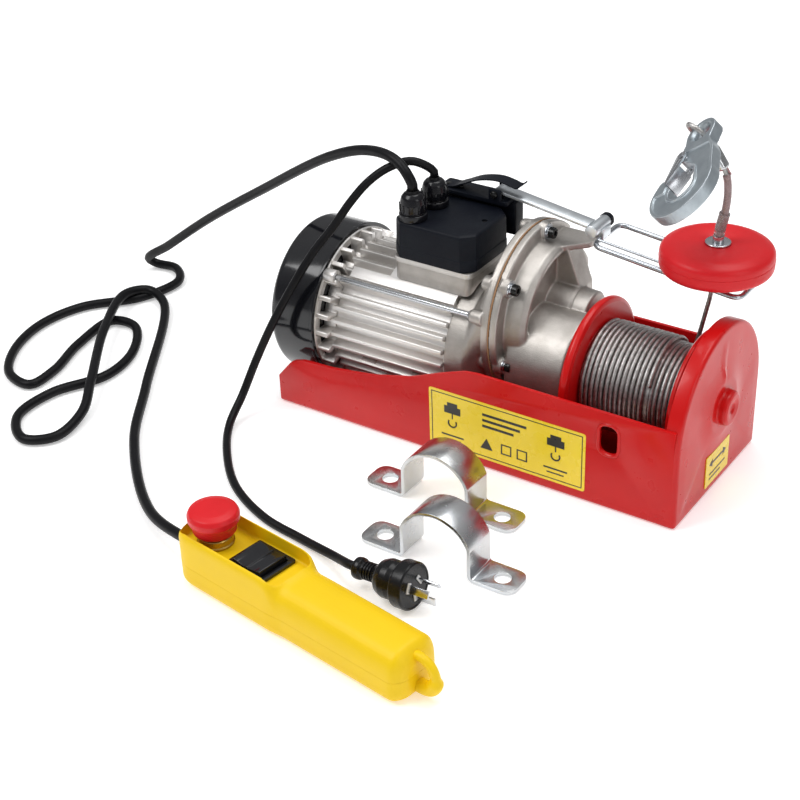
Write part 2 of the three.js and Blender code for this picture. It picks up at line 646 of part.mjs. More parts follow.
function chamferedOutline(inset) {
  const c = LID.chamfer - inset * 0.6;
  const [x0, x1, y0, y1] = [LID.x0 + inset, LID.x1 - inset, LID.y0 + inset, LID.y1 - inset];
  return outline([
    [x0 + c, y0], [x1 - c, y0], [x1, y0 + c], [x1, y1 - c],
    [x1 - c, y1], [x0 + c, y1], [x0, y1 - c], [x0, y0 + c],
  ]);
}

function terminalLid() {
  const holes = Object.values(GLANDS).map(([x, y]) => rodZ(8.2, LID.z1 - 4, LID.z1 + 1, 12, x, y));
  const body = joined(
    extruded("xy", chamferedOutline(0), LID.z0, LID.z1 - 1),
    extruded("xy", chamferedOutline(1), LID.z1 - 1.5, LID.z1),
  );
  const inside = extruded("xy", chamferedOutline(LID.wall), LID.z0 - 1, LID.z1 - LID.wall);
  return toMesh("terminal_lid", cut(body, inside, ...holes), BLACK_PLASTIC);
}

function glands() {
  const profile = [
    [0, 178], [7.7, 178], [7.7, LID.z1 + GAP], [11, LID.z1 + GAP], [11, 191], [10, 192], [10.6, 193],
    [10.6, 200], [9.6, 205], [7.4, 209], [5.6, GLAND_TOP], [0, GLAND_TOP],
  ];
  return Object.entries(GLANDS).map(([name, place]) =>
    toMesh(name, turnedZ(profile, 14, ...place), BLACK_PLASTIC),
  );
}

const runCapacitor = () => toMesh("run_capacitor", rodX(11, -88, -48, 16, -12, 154), BLACK_PLASTIC);

// ---- Rope limit switch, its lever and the wire loop under the weight ----
function limitSwitch() {
  const cheeks = [[29.5, 32.4], [LEVER.y + 7.6, 50.5]].map(([y0, y1]) =>
    block(LEVER.x - 6, LEVER.x + 6, y0, y1, 190, LEVER.z + 4),
  );
  const body = joined(
    block(-92, -18, 37.5, 52, 160, 189),
    block(-92, -22, 29.5, 52, 188.3, 191.6),
    ...cheeks,
  );
  const pin = rodZ(2, -12, 12, 10).rotate([90, 0, 0]).translate(LEVER.x, LEVER.y, LEVER.z);
  return toMesh("limit_switch", joined(body, pin), BLACK_PLASTIC);
}

function leafSpring() {
  const crest = [[-82, 192.2], [-68, 198], [-53, 205], [-35, 208.5], [-16, 206], [-12, 209]];
  const under = crest.map(([x, z]) => [x, z - 1.2]).reverse();
  under[under.length - 1] = [-82, 191.9];
  return toMesh("leaf_spring", extruded("xz", outline([...crest, ...under]), 34, 46), BLACK_PLASTIC);
}

function leverArm() {
  const half = LEVER.width / 2;
  const strip = outline([[LEVER.x, 200.2], [50, 187.6], [50, 185.1], [LEVER.x, 197.5]]);
  const barrel = rodZ(3.6, -half, half, 14).rotate([90, 0, 0]).translate(LEVER.x, LEVER.y, LEVER.z);
  const bore = rodZ(2 + GAP, -half - 1, half + 1, 10)
    .rotate([90, 0, 0])
    .translate(LEVER.x, LEVER.y, LEVER.z);
  const arm = extruded("xz", strip, LEVER.y - half, LEVER.y + half);
  return toMesh("lever_arm", cut(joined(arm, barrel), bore), ZINC);
}

const SLEEVE = { x: 58, z: 184, y0: 29, y1: 56, r: 5.5 };

function leverSleeve() {
  const half = (SLEEVE.y1 - SLEEVE.y0) / 2;
  const barrel = rodZ(SLEEVE.r, -half, half, 16).rotate([90, 0, 0]);
  const tab = block(-0.7, 1.4, -5, 9, -13, 0);
  const body = joined(barrel, tab).translate(SLEEVE.x, (SLEEVE.y0 + SLEEVE.y1) / 2, SLEEVE.z);
  const armSlot = block(40, 53.2, 30, 50, 180, 190);
  return toMesh("lever_sleeve", cut(body, armSlot), ZINC);
}

function wireLoop() {
  const [x0, x1, y0, y1] = [62, 192, 26, 74];
  const height = (x) => 174.3 - (x - x0) * 0.115;
  const corner = (x, y) => [x, y, height(x)];
  const rod = bentCurve(
    [corner(x0, 48), corner(x0, y0), corner(x1, y0), corner(x1, y1), corner(x0, y1), corner(x0, 52)], 8,
  );
  return toMesh("wire_loop", bar(rod, LOOP_ROD_R, 6, 40), ZINC);
}

// ---- Pendant control, in its own frame: head towards -x, tail towards +x ----
function pendantBody(inset) {
  const half = PENDANT.length / 2 - inset;
  const [grip, head] = [PENDANT.grip / 2 - inset, PENDANT.head / 2 - inset];
  const [floor, gripTop, headTop] = [inset, 40 - inset, 50 - inset];
  const plan = new THREE.Shape();
  plan.absarc(-half + 14, -head + 14, 14, Math.PI, Math.PI * 1.5);
  plan.lineTo(-5, -head);
  plan.quadraticCurveTo(14, -head, 28, -grip);
  plan.absarc(half - 14, -grip + 14, 14, -Math.PI / 2, 0);
  plan.absarc(half - 14, grip - 14, 14, 0, Math.PI / 2);
  plan.lineTo(28, grip);
  plan.quadraticCurveTo(14, head, -5, head);
  plan.absarc(-half + 14, head - 14, 14, Math.PI / 2, Math.PI);
  const side = new THREE.Shape();
  side.moveTo(-half + 6, floor);
  side.lineTo(half - 6, floor);
  side.quadraticCurveTo(half, floor, half, floor + 7);
  side.lineTo(half - 1, gripTop - 9);
  side.quadraticCurveTo(half - 2, gripTop, half - 12, gripTop);
  side.lineTo(32, gripTop);
  side.bezierCurveTo(14, gripTop, 8, headTop, -10, headTop);
  side.lineTo(-half + 12, headTop);
  side.quadraticCurveTo(-half + 2, headTop, -half + 1, headTop - 14);
  side.lineTo(-half, floor + 8);
  side.quadraticCurveTo(-half, floor, -half + 6, floor);
  const section = roundedOutline(-head, head, floor, headTop, 12 - inset);
  return extruded("xy", plan, -1, 60, 4)
    .intersect(extruded("xz", side, -60, 60, 5))
    .intersect(extruded("yz", section, -200, 200, 4));
}

function pendantShells() {
  const sunken = extruded("xy", roundedOutline(-112, 14, -20.5, 20.5, 12), TRAY_FACE_Z, 60, 4);
  const roof = block(-130, 24, -30, 30, TRAY_FACE_Z - 2.5, 60);
  const hollow = cut(pendantBody(2.5), roof);
  const openings = joined(
    rodZ(8.4, 30, 40, 20, ESTOP_X, -1.5),
    block(ROCKER_X - 17.4, ROCKER_X + 17.4, -16.4, 16.4, 30, 40),
  );
  const shell = cut(pendantBody(0), sunken, hollow, openings);
  const above = block(-200, 200, -60, 60, PENDANT.split + 0.15, 80);
  const below = block(-200, 200, -60, 60, -5, PENDANT.split - 0.15);
  const tail = PENDANT.length / 2;
  const hanger = smoothCurve([
    [tail - 3, 0, 31], [tail + 8, 0, 31.5], [tail + 17, 0, 26],
    [tail + 18.5, 0, 17], [tail + 12, 0, 9.5], [tail + 3, 0, 8],
  ]);
  const upper = joined(shell.intersect(above), bar(hanger, 3.6, 10, 14));
  return [
    toMesh("pendant_shell_upper", upper, YELLOW_PLASTIC),
    toMesh("pendant_shell_lower", shell.intersect(below), YELLOW_PLASTIC),
  ];
}

function emergencyStop() {
  const place = [ESTOP_X, -1.5];
  const cap = [[0, 47], [16.2, 47], [17, 51], [20, 56], [20, 61.5], [17.5, 65], [10, 67], [0, 67.6]];
  const collar = [[8.4, 36.3], [13, 36.3], [13, 41], [8.4, 41], [8.4, 36.3]];
  return [
    toMesh("estop_plunger", rodZ(8, 14, 46.7, 16, ...place), BLACK_PLASTIC),
    toMesh("estop_collar", turnedZ(collar, 16, ...place), BRASS),
    toMesh("estop_cap", turnedZ(cap, 24, ...place), RED_PLASTIC),
  ];
}

function rockerSwitch() {
  const bezel = block(ROCKER_X - 19.5, ROCKER_X + 19.5, -18.5, 18.5, TRAY_FACE_Z + GAP, 38.6);
  const body = block(ROCKER_X - 17, ROCKER_X + 17, -16, 16, 12, 37);
  const well = block(ROCKER_X - 15.5, ROCKER_X + 15.5, -14.5, 14.5, 27, 40);
  const button = outline([[-14.5, 30.5], [14.5, 30.5], [14.5, 42.2], [0, 40.4], [-14.5, 42.2]]);
  return [
    toMesh("contact_block", cut(joined(bezel, body), well), BLACK_PLASTIC),
    toMesh("rocker_button", extruded("xz", button, -14, 14).translate(ROCKER_X, 0, 0), BLACK_PLASTIC),
  ];
}

function pendantGroup() {
  const group = new THREE.Group();
  group.add(...pendantShells(), ...emergencyStop(), ...rockerSwitch());
  group.position.set(PENDANT.x, PENDANT.y, 0);
  group.rotation.z = THREE.MathUtils.degToRad(PENDANT.yaw);
  return group;
}

// ---- Mains plug: turned body with three flat pins, its face at the local origin ----
function mainsPlug() {
  const { r, length } = PLUG;
  const profile = [
    [0, -length], [5.5, -length], [8.5, -length + 1.5], [8.5, -length + 6], [6.2, -length + 7.5],
    [6.2, -length + 17], [11, -35], [15.5, -28], [15.5, -19], [13.6, -14],
    [r, -11], [r, -1], [r - 1, 0], [0, 0],
  ];
  const pin = (lean) => block(-4, 18.5, -3.1, 3.1, -0.85, 0.85).rotate([lean, 0, 0]);
  const pins = [
    pin(120).translate(0, 6.9, 2.6), pin(60).translate(0, -6.9, 2.6), pin(90).translate(0, 0, -7.9),
  ];
  const mesh = toMesh("mains_plug", joined(turnedX(profile, 16, 0, 0), ...pins), BLACK_RUBBER);
  mesh.position.set(PLUG.x, PLUG.y, PLUG.z);
  mesh.rotation.set(0, THREE.MathUtils.degToRad(PLUG.pitch), THREE.MathUtils.degToRad(PLUG.yaw), "ZYX");
  return mesh;
}

// ---- Saddle clamps ----
function archedStrip(inset) {
  const { legX, arcR, arcZ } = CLAMP_STRIP;
  const shape = new THREE.Shape();
  const reach = legX - inset;
  const lift = Math.acos(reach / (arcR - inset));
  shape.moveTo(reach, -1);
  shape.lineTo(reach, arcZ + (arcR - inset) * Math.sin(lift));
  shape.absarc(0, arcZ, arcR - inset, lift, Math.PI - lift);
  shape.lineTo(-reach, -1);
  return shape;
}

function saddleClamp({ name, x, y, left, right, holes }) {
  const { width, sheet, legX } = CLAMP_STRIP;
  const feet = [[left, -legX + sheet], [legX - sheet, right]].map(([x0, x1]) =>
    extruded("xy", roundedOutline(x0, x1, -width / 2, width / 2, 9), 0, sheet, 3),
  );
  const rootLength = 12;
  const squareRoots = [sheet - legX - rootLength, legX - sheet].map((x0) =>
    block(x0, x0 + rootLength, -width / 2, width / 2, 0, sheet),
  );
  const arch = extruded("xz", archedStrip(0), -width / 2, width / 2, 9);
  const under = extruded("xz", archedStrip(sheet), -width, width, 9);
  const floorLevel = block(-60, 60, -30, 30, -10, 0);
  const boltHoles = holes.map((hx) => rodZ(7, -1, sheet + 1, 14, hx, 0));
  const solid = cut(joined(arch, ...feet, ...squareRoots), under, floorLevel, ...boltHoles);
  const mesh = toMesh(name, solid, ZINC);
  mesh.position.set(x, y, 0);
  return mesh;
}

// ---- Cords: hand-laid routes, from the gland to the far end ----
const PENDANT_CORD_ROUTE = [
  [-82, -22, GLAND_TOP + GAP], [-82, -22, 215], [-85, -22, 221], [-95, -19, 229],
  [-110, -15, 233], [-139, -7, 229], [-186, 5, 209], [-293, 34, 141],
  [-374, 50, 87], [-440, 58, 38], [-474, 63, 13],
  [-470, 69, 6], [-446, 72, 5], [-424, 50, 4.8], [-434, 4, 4.6], [-472, -42, 4.6], [-482, -90, 4.6],
  [-468, -140, 4.6], [-438, -176, 4.6], [-408, -180, 4.6], [-407, -150, 4.6], [-422, -101, 4.6],
  [-426, -48, 4.6], [-400, -45, 4.6], [-366, -86, 4.6], [-358, -131, 4.6], [-380, -180, 4.6],
  [-378, -226, 4.6], [-346, -251, 4.6], [-324, -234, 5], [-328, -196, 8], [-352, -157, 13.9],
  [-411, -73, 14.2], [-440, -10, 13.9], [-430, 12, 10.5], [-404, 4, 7], [-312, -128, 5.2],
  [-259, -204, 5.5], [-172, -282, 9], [-104, -307, 18],
];
const MAINS_CORD_ROUTE = [
  [-81, 10, GLAND_TOP + GAP], [-81, 10, 215], [-86, 6, 221], [-97, -2, 226],
  [-112, -13, 221], [-126, -23, 209], [-138, -33, 192], [-150, -44, 170],
  [-163, -58, 148], [-175, -74, 120], [-188, -88, 88],
  [-202, -99, 51], [-209, -114, 20], [-205, -138, 6], [-180, -174, 4.2], [-140, -212, 3.8],
  [-92, -235, 3.8], [-50, -243, 4.2], [-12, -252, 8],
];

// A point on the plug's axis, this far behind the end of its strain relief.
function behindPlug(distance) {
  const back = new THREE.Vector3(-PLUG.length - distance, 0, 0);
  const turn = new THREE.Euler(
    0, THREE.MathUtils.degToRad(PLUG.pitch), THREE.MathUtils.degToRad(PLUG.yaw), "ZYX",
  );
  return back.applyEuler(turn).add(new THREE.Vector3(PLUG.x, PLUG.y, PLUG.z)).toArray();
}

function cords() {
  const pendantRun = smoothCurve(PENDANT_CORD_ROUTE);
  const mainsRun = smoothCurve([...MAINS_CORD_ROUTE, behindPlug(6), behindPlug(GAP)]);
  return [
    toMesh("pendant_cord", bar(pendantRun, PENDANT_CORD_R, 8, 80), BLACK_RUBBER),
    toMesh("mains_cord", bar(mainsRun, MAINS_CORD_R, 8, 38), BLACK_RUBBER),
  ];
}

// ---- Assembly ----
function hoist() {
  const group = new THREE.Group();
  group.add(
    frameTray(), endBoss(), endBush(),
    motorHousing(), motorBell(), rearEndShield(), fanCowl(), coolingFan(), motorShaft(), ...motorInternals(),
    gearboxGasket(), gearboxCover(), ...coverBolts(), ...gearTrain(),
    ropeDrum(), woundRope(), ropeTail(), limitWeight(), hookRope(), ferrule(), ropeLoop(), hookGroup(),
    terminalBase(), terminalLid(), ...glands(), runCapacitor(),
    limitSwitch(), leafSpring(), leverArm(), leverSleeve(), wireLoop(),
    pendantGroup(), mainsPlug(), ...CLAMPS.map(saddleClamp), ...cords(),
  );
  return group;
}

export default hoist();
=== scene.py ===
"""The looks of an electric wire rope hoist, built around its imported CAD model.

Build functions work in millimetres, and a mesh is turned into metres when it becomes a piece.
X runs along the motor and drum, Y to the back and Z up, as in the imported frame.
"""
import math

import bmesh
import bpy
from mathutils import Matrix, Vector, noise


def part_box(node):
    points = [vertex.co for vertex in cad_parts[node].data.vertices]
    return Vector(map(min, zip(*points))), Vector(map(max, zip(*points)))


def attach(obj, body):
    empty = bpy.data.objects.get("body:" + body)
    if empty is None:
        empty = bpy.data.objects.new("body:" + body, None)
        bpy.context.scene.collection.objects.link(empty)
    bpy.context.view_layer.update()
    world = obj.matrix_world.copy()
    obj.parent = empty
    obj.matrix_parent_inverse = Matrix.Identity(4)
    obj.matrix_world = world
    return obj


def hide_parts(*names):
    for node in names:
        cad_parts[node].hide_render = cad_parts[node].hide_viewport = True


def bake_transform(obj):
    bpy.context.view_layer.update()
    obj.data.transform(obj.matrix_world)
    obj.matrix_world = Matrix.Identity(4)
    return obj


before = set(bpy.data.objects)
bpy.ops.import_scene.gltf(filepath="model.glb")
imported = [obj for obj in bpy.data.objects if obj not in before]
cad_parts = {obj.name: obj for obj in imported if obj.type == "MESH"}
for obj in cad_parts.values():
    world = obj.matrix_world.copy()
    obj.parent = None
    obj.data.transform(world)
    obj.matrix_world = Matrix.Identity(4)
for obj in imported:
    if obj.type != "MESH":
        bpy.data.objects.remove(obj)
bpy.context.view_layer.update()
MM = 0.001
TAU = 2 * math.pi
DRIVE_Z = 76.0  # height of the common axis of motor and drum


# ---- Meshes as (points, faces) pairs, in millimetres ----
def combined(*meshes):
    points, faces = [], []
    for more_points, more_faces in meshes:
        shift = len(points)
        points += more_points
        faces += [[i + shift for i in face] for face in more_faces]
    return points, faces


def moved(mesh, matrix):
    return [matrix @ Vector(p) for p in mesh[0]], mesh[1]


def shifted(mesh, x=0.0, y=0.0, z=0.0):
    return moved(mesh, Matrix.Translation((x, y, z)))


def turned(mesh, degrees, axis):
    return moved(mesh, Matrix.Rotation(math.radians(degrees), 4, axis))


def rounded(points, radius, steps=4, closed=False):
    """A 2-D line with its corners rounded. A point's third value is its own radius."""
    found = []
    last = len(points) - 1
    for i, point in enumerate(points):
        r = point[2] if len(point) > 2 else radius
        corner = Vector(point[:2])
        if r == 0 or (not closed and i in (0, last)):
            found.append(corner)
            continue
        back = Vector(points[i - 1][:2]) - corner
        ahead = Vector(points[(i + 1) % len(points)][:2]) - corner
        angle = back.angle(ahead, math.pi)
        reach = min(r / max(math.tan(angle / 2), 1e-6), 0.48 * back.length, 0.48 * ahead.length)
        start, end = corner + back.normalized() * reach, corner + ahead.normalized() * reach
        for k in range(steps + 1):
            t = k / steps
            found.append(start * (1 - t) ** 2 + corner * 2 * t * (1 - t) + end * t * t)
    return found


def arc(cx, cy, r, start, end, steps):
    """Points on a circle between two angles in degrees."""
    angles = (math.radians(start + (end - start) * k / steps) for k in range(steps + 1))
    return [(cx + r * math.cos(a), cy + r * math.sin(a)) for a in angles]


def circle(r, sides):
    return [(r * math.cos(TAU * k / sides), r * math.sin(TAU * k / sides)) for k in range(sides)]


def toothed(count, root, tip):
    """An outline with teeth. Root and tip are (radius, half width as a share of the pitch)."""
    points = []
    for k in range(count):
        for r, share in ((root[0], -root[1]), (tip[0], -tip[1]), tip, root):
            a = TAU * (k + share) / count
            points.append((r * math.cos(a), r * math.sin(a)))
    return points


def rectangle(x0, x1, y0, y1, r=0.0, steps=5):
    return rounded([(x0, y0), (x1, y0), (x1, y1), (x0, y1)], r, steps, closed=True)


def lofted(rings, caps=True, loop=False):
    """Rings of equally many points, joined by faces."""
    n = len(rings[0])
    points = [Vector(p) for ring in rings for p in ring]
    faces = []
    for k in range(len(rings) if loop else len(rings) - 1):
        a, b = k * n, ((k + 1) % len(rings)) * n
        faces += [[a + i, a + (i + 1) % n, b + (i + 1) % n, b + i] for i in range(n)]
    if caps and not loop:
        faces += [list(range(n))[::-1], [(len(rings) - 1) * n + i for i in range(n)]]
    return points, faces


def lathe(profile, axis="X", segments=96, loop=False):
    """A profile of (radius, distance) turned about an axis through the origin."""
    rings = []
    for r, d in profile:
        ring = circle(max(r, 1e-4), segments)
        rings.append([(d, c, s) if axis == "X" else (c, s, d) for c, s in ring])
    return lofted(rings, loop=loop)


def turned_x(profile, segments=96, y=0.0, z=DRIVE_Z, loop=False):
    return shifted(lathe(profile, "X", segments, loop), y=y, z=z)


def turned_z(profile, segments=96, x=0.0, y=0.0, loop=False):
    return shifted(lathe(profile, "Z", segments, loop), x=x, y=y)


def turned_y(profile, segments, x, y, z, way=1):
    """A profile turned about Y. A way of 1 looks to the front and -1 to the back."""
    return shifted(turned(lathe(profile, "Z", segments), 90 * way, "X"), x, y, z)


def rod_x(r, x0, x1, segments=96, y=0.0, z=DRIVE_Z):
    return turned_x([(0, x0), (r, x0), (r, x1), (0, x1)], segments, y, z)


def ring_x(r0, r1, x0, x1, segments=48, y=0.0, z=DRIVE_Z):
    return turned_x([(r0, x0), (r1, x0), (r1, x1), (r0, x1)], segments, y, z, loop=True)


def rod_y(r, half, segments, x, y, z):
    return turned_y([(0, -half), (r, -half), (r, half), (0, half)], segments, x, y, z)


def rod_z(r, z0, z1, segments=32, x=0.0, y=0.0):
    return turned_z([(0, z0), (r, z0), (r, z1), (0, z1)], segments, x, y)


PLANES = {
    "xy": lambda a, b, c: (a, b, c),
    "xz": lambda a, b, c: (a, c, b),
    "yz": lambda a, b, c: (c, a, b),
}


def prism(outline, plane, start, end):
    """An outline in a plane, extruded along the remaining axis."""
    spread = PLANES[plane]
    return lofted([[spread(a, b, c) for a, b in outline] for c in (start, end)])


def slab(x0, x1, y0, y1, z0, z1, r=0.0):
    return prism(rectangle(x0, x1, y0, y1, r), "xy", z0, z1)


def smooth_line(points, spacing):
    """Points evenly spread on the centripetal Catmull-Rom curve through the given ones."""
    p = [Vector(q) for q in points]
    p = [2 * p[0] - p[1], *p, 2 * p[-1] - p[-2]]
    dense = []
    for i in range(1, len(p) - 2):
        knots = [0.0]
        for k in range(3):
            knots.append(knots[-1] + max((p[i + k] - p[i + k - 1]).length, 1e-6) ** 0.5)
        t0, t1, t2, t3 = knots
        steps = max(4, int((p[i + 1] - p[i]).length / spacing * 4))
        for k in range(steps):
            t = t1 + (t2 - t1) * k / steps
            a1 = p[i - 1] * ((t1 - t) / (t1 - t0)) + p[i] * ((t - t0) / (t1 - t0))
            a2 = p[i] * ((t2 - t) / (t2 - t1)) + p[i + 1] * ((t - t1) / (t2 - t1))
            a3 = p[i + 1] * ((t3 - t) / (t3 - t2)) + p[i + 2] * ((t - t2) / (t3 - t2))
            b1 = a1 * ((t2 - t) / (t2 - t0)) + a2 * ((t - t0) / (t2 - t0))
            b2 = a2 * ((t3 - t) / (t3 - t1)) + a3 * ((t - t1) / (t3 - t1))
            dense.append(b1 * ((t2 - t) / (t2 - t1)) + b2 * ((t - t1) / (t2 - t1)))
    dense.append(p[-2])
    return evenly(dense, spacing)


def evenly(line, spacing):
    """The same line with its points spread evenly."""
    lengths = [0.0]
    for a, b in zip(line, line[1:]):
        lengths.append(lengths[-1] + (b - a).length)
    count = max(2, round(lengths[-1] / spacing))
    found, k = [], 0
    for i in range(count + 1):
        want = lengths[-1] * i / count
        while k < len(line) - 2 and lengths[k + 1] < want:
            k += 1
        share = (want - lengths[k]) / max(lengths[k + 1] - lengths[k], 1e-9)
        found.append(line[k].lerp(line[k + 1], min(max(share, 0.0), 1.0)))
    return found


def swept(line, section, loop=False):
    """section(k, length) gives 2-D points, carried along the line without twist."""
    count = len(line)
    tangents = []
    for k in range(count):
        a = line[k - 1] if k or loop else line[0]
        b = line[(k + 1) % count] if k < count - 1 or loop else line[-1]
        tangents.append((b - a).normalized())
    side = tangents[0].orthogonal().normalized()
    rings, length = [], 0.0
    for k, point in enumerate(line):
        side = (side - tangents[k] * side.dot(tangents[k])).normalized()
        up = tangents[k].cross(side)
        rings.append([point + side * a + up * b for a, b in section(k, length)])
        if k < count - 1:
            length += (line[k + 1] - point).length
    return lofted(rings, loop=loop)


def tube(line, radius, sides=16, loop=False):
    """radius is a number, or a function of the distance along the line."""
    def section(_, length):
        return circle(radius(length) if callable(radius) else radius, sides)
    return swept(line, section, loop)


def rope(line, radius, lay=22.0, strands=6):
    """A laid rope: its strands stand out of the section and wind round it."""
    sides = strands * 4

    def section(_, length):
        twist = TAU * length / lay
        found = []
        for i in range(sides):
            angle = TAU * i / sides
            lobe = abs(math.cos(strands * (angle - twist) / 2))
            r = radius * (0.76 + 0.24 * lobe)
            found.append((r * math.cos(angle), r * math.sin(angle)))
        return found
    return swept(line, section)


# ---- Pieces ----
def made(name, mesh):
    """An object of its own from a (points, faces) pair."""
    data = bpy.data.meshes.new(name)
    data.from_pydata([Vector(p) * MM for p in mesh[0]], [], mesh[1])
    clean = bmesh.new()
    clean.from_mesh(data)
    bmesh.ops.remove_doubles(clean, verts=clean.verts, dist=0.002 * MM)
    bmesh.ops.dissolve_degenerate(clean, edges=clean.edges, dist=0.001 * MM)
    bmesh.ops.recalc_face_normals(clean, faces=clean.faces)
    clean.to_mesh(data)
    clean.free()
    piece = bpy.data.objects.new(name, data)
    bpy.context.scene.collection.objects.link(piece)
    return piece


def applied(piece):
    """The piece with its modifiers made part of its mesh."""
    bpy.context.view_layer.update()
    found = piece.evaluated_get(bpy.context.evaluated_depsgraph_get())
    data = bpy.data.meshes.new_from_object(found)
    piece.modifiers.clear()
    piece.data = data
    return piece


def boolean(piece, operation, meshes):
    for mesh in meshes:
        tool = made("tool", mesh)
        step = piece.modifiers.new("boolean", "BOOLEAN")
        step.operation, step.solver, step.object = operation, "MANIFOLD", tool
        applied(piece)
        bpy.data.objects.remove(tool)
    return piece


def cut(piece, *meshes):
    return boolean(piece, "DIFFERENCE", meshes)


def fused(piece, *meshes):
    return boolean(piece, "UNION", meshes)


def cast(piece, voxel=0.8, smoothing=4):
    """Melts the pieces of a mesh into one skin with small fillets."""
    remesh = piece.modifiers.new("skin", "REMESH")
    remesh.mode, remesh.voxel_size = "VOXEL", voxel * MM
    soften = piece.modifiers.new("fillets", "SMOOTH")
    soften.factor, soften.iterations = 0.5, smoothing
    return applied(piece)


def bevelled(piece, width=0.6, segments=2, angle=35):
    bevel = piece.modifiers.new("edges", "BEVEL")
    bevel.width, bevel.segments, bevel.limit_method = width * MM, segments, "ANGLE"
    bevel.angle_limit = math.radians(angle)
    return applied(piece)


def finished(piece, body, material, slot, *replaced, sharp=35):
    """Gives a piece its material and its place in the motion, and hides the CAD nodes it stands for."""
    piece.data.materials.clear()
    piece.data.materials.append(material)
    piece.data.shade_smooth()
    if sharp < 180:
        piece.data.set_sharp_from_angle(angle=math.radians(sharp))
    if body:
        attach(piece, body)
    if replaced:
        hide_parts(*replaced)
    return piece


def shown(name, mesh, *details, sharp=35):
    """A mesh made into a piece and finished in one go."""
    return finished(made(name, mesh), *details, sharp=sharp)


# ---- Materials ----
def set_inputs(node, **values):
    """Sets a shader node's inputs, where an underscore stands for a space in an input's name."""
    for name, value in values.items():
        node.inputs[name.replace("_", " ")].default_value = value
    return node


def surface(name, color, roughness, metallic=0.0, coat=0.0, second=None, mottle=60.0, grain=0.0,
            grain_size=1.0, rough_spread=0.08, edge=None, ior=1.5, clear=0.0):
    """A procedural finish: mottled colour, uneven gloss, fine grain and paler or darker edges."""
    material = bpy.data.materials.new(name)
    material.use_nodes = True
    nodes, links = material.node_tree.nodes, material.node_tree.links
    shader = set_inputs(nodes["Principled BSDF"], Metallic=metallic, Coat_Weight=coat, Coat_Roughness=0.06,
                        IOR=ior, Transmission_Weight=clear)
    coords = nodes.new("ShaderNodeTexCoord")

    def noise_node(**values):
        node = set_inputs(nodes.new("ShaderNodeTexNoise"), **values)
        links.new(coords.outputs["Object"], node.inputs["Vector"])
        return node.outputs["Fac"]

    def mapped(value, **values):
        node = set_inputs(nodes.new("ShaderNodeMapRange"), **values)
        links.new(value, node.inputs["Value"])
        return node.outputs["Result"]

    def mixed(share, **values):
        node = nodes.new("ShaderNodeMix")
        node.data_type = "RGBA"
        links.new(share, node.inputs["Factor"])
        return set_inputs(node, **values)

    patches = mapped(noise_node(Scale=mottle, Detail=5.0, Roughness=0.6), From_Min=0.35, From_Max=0.72)
    tint = mixed(patches, A=(*color, 1), B=(*(second or [c * 0.82 for c in color]), 1)).outputs["Result"]
    if edge:
        pointed = nodes.new("ShaderNodeNewGeometry").outputs["Pointiness"]
        rim = mixed(mapped(pointed, From_Min=0.52, From_Max=0.60), B=(*edge, 1))
        links.new(tint, rim.inputs["A"])
        tint = rim.outputs["Result"]
    links.new(tint, shader.inputs["Base Color"])
    uneven = mapped(noise_node(Scale=mottle * 5, Detail=3.0), To_Min=max(roughness - rough_spread, 0.02),
                    To_Max=roughness + rough_spread)
    links.new(uneven, shader.inputs["Roughness"])
    if grain:
        bump = set_inputs(nodes.new("ShaderNodeBump"), Strength=grain, Distance=0.0004)
        links.new(noise_node(Scale=1000.0 / grain_size, Detail=2.0), bump.inputs["Height"])
        links.new(bump.outputs["Normal"], shader.inputs["Normal"])
    return material


RED_PAINT = surface("red_paint", (0.56, 0.005, 0.005), 0.29, coat=0.10, second=(0.49, 0.003, 0.004),
                    mottle=14, grain=0.10, grain_size=4.0, rough_spread=0.05, ior=1.33)
CAST = surface("cast_aluminium", (0.50, 0.475, 0.445), 0.45, 0.90, second=(0.36, 0.335, 0.31),
               mottle=45, grain=0.55, grain_size=0.9, edge=(0.82, 0.80, 0.78))
MACHINED = surface("machined_steel", (0.62, 0.61, 0.60), 0.28, 1.0, mottle=80, grain=0.06, grain_size=0.8)
ZINC = surface("zinc_plate", (0.60, 0.62, 0.65), 0.24, 1.0, second=(0.50, 0.51, 0.53), mottle=40,
               grain=0.02, grain_size=4.0, rough_spread=0.05)
LEVER_ZINC = surface("lever_zinc", (0.74, 0.78, 0.81), 0.34, 0.95, second=(0.60, 0.64, 0.67), mottle=30,
                     grain=0.03, grain_size=4.0, rough_spread=0.06)
# Zinc for the wire loop, its base colour darkened as painted shade.
SHADED_WIRE_ZINC = surface("wire_zinc_painted_shade", (0.44, 0.46, 0.49), 0.27, 1.0, second=(0.36, 0.38, 0.41), mottle=60,
                    rough_spread=0.05)
PASSIVATED = surface("yellow_zinc", (0.55, 0.57, 0.60), 0.25, 1.0, second=(0.50, 0.50, 0.47), mottle=22,
                     grain=0.06, grain_size=1.6, rough_spread=0.08)
GALVANISED = surface("galvanised", (0.44, 0.49, 0.52), 0.40, 0.85, second=(0.34, 0.385, 0.42), mottle=70,
                     grain=0.35, grain_size=1.1, edge=(0.74, 0.78, 0.81))
ROPE_STEEL = surface("rope_steel", (0.52, 0.51, 0.50), 0.36, 1.0, second=(0.27, 0.26, 0.25), mottle=260,
                     grain=0.5, grain_size=0.5, rough_spread=0.12)
SHEATH = surface("rope_sheath", (0.30, 0.20, 0.19), 0.18, 0.25, coat=0.8, second=(0.36, 0.10, 0.11),
                 mottle=70)
COPPER = surface("enamelled_copper", (0.52, 0.22, 0.10), 0.3, 0.9, mottle=200, grain=0.6, grain_size=0.9)
BRASS = surface("brass", (0.50, 0.33, 0.09), 0.30, 1.0, mottle=60, grain=0.08, grain_size=0.6)
GASKET = surface("gasket_paper", (0.36, 0.20, 0.10), 0.75, mottle=120, grain=0.3, grain_size=0.8)
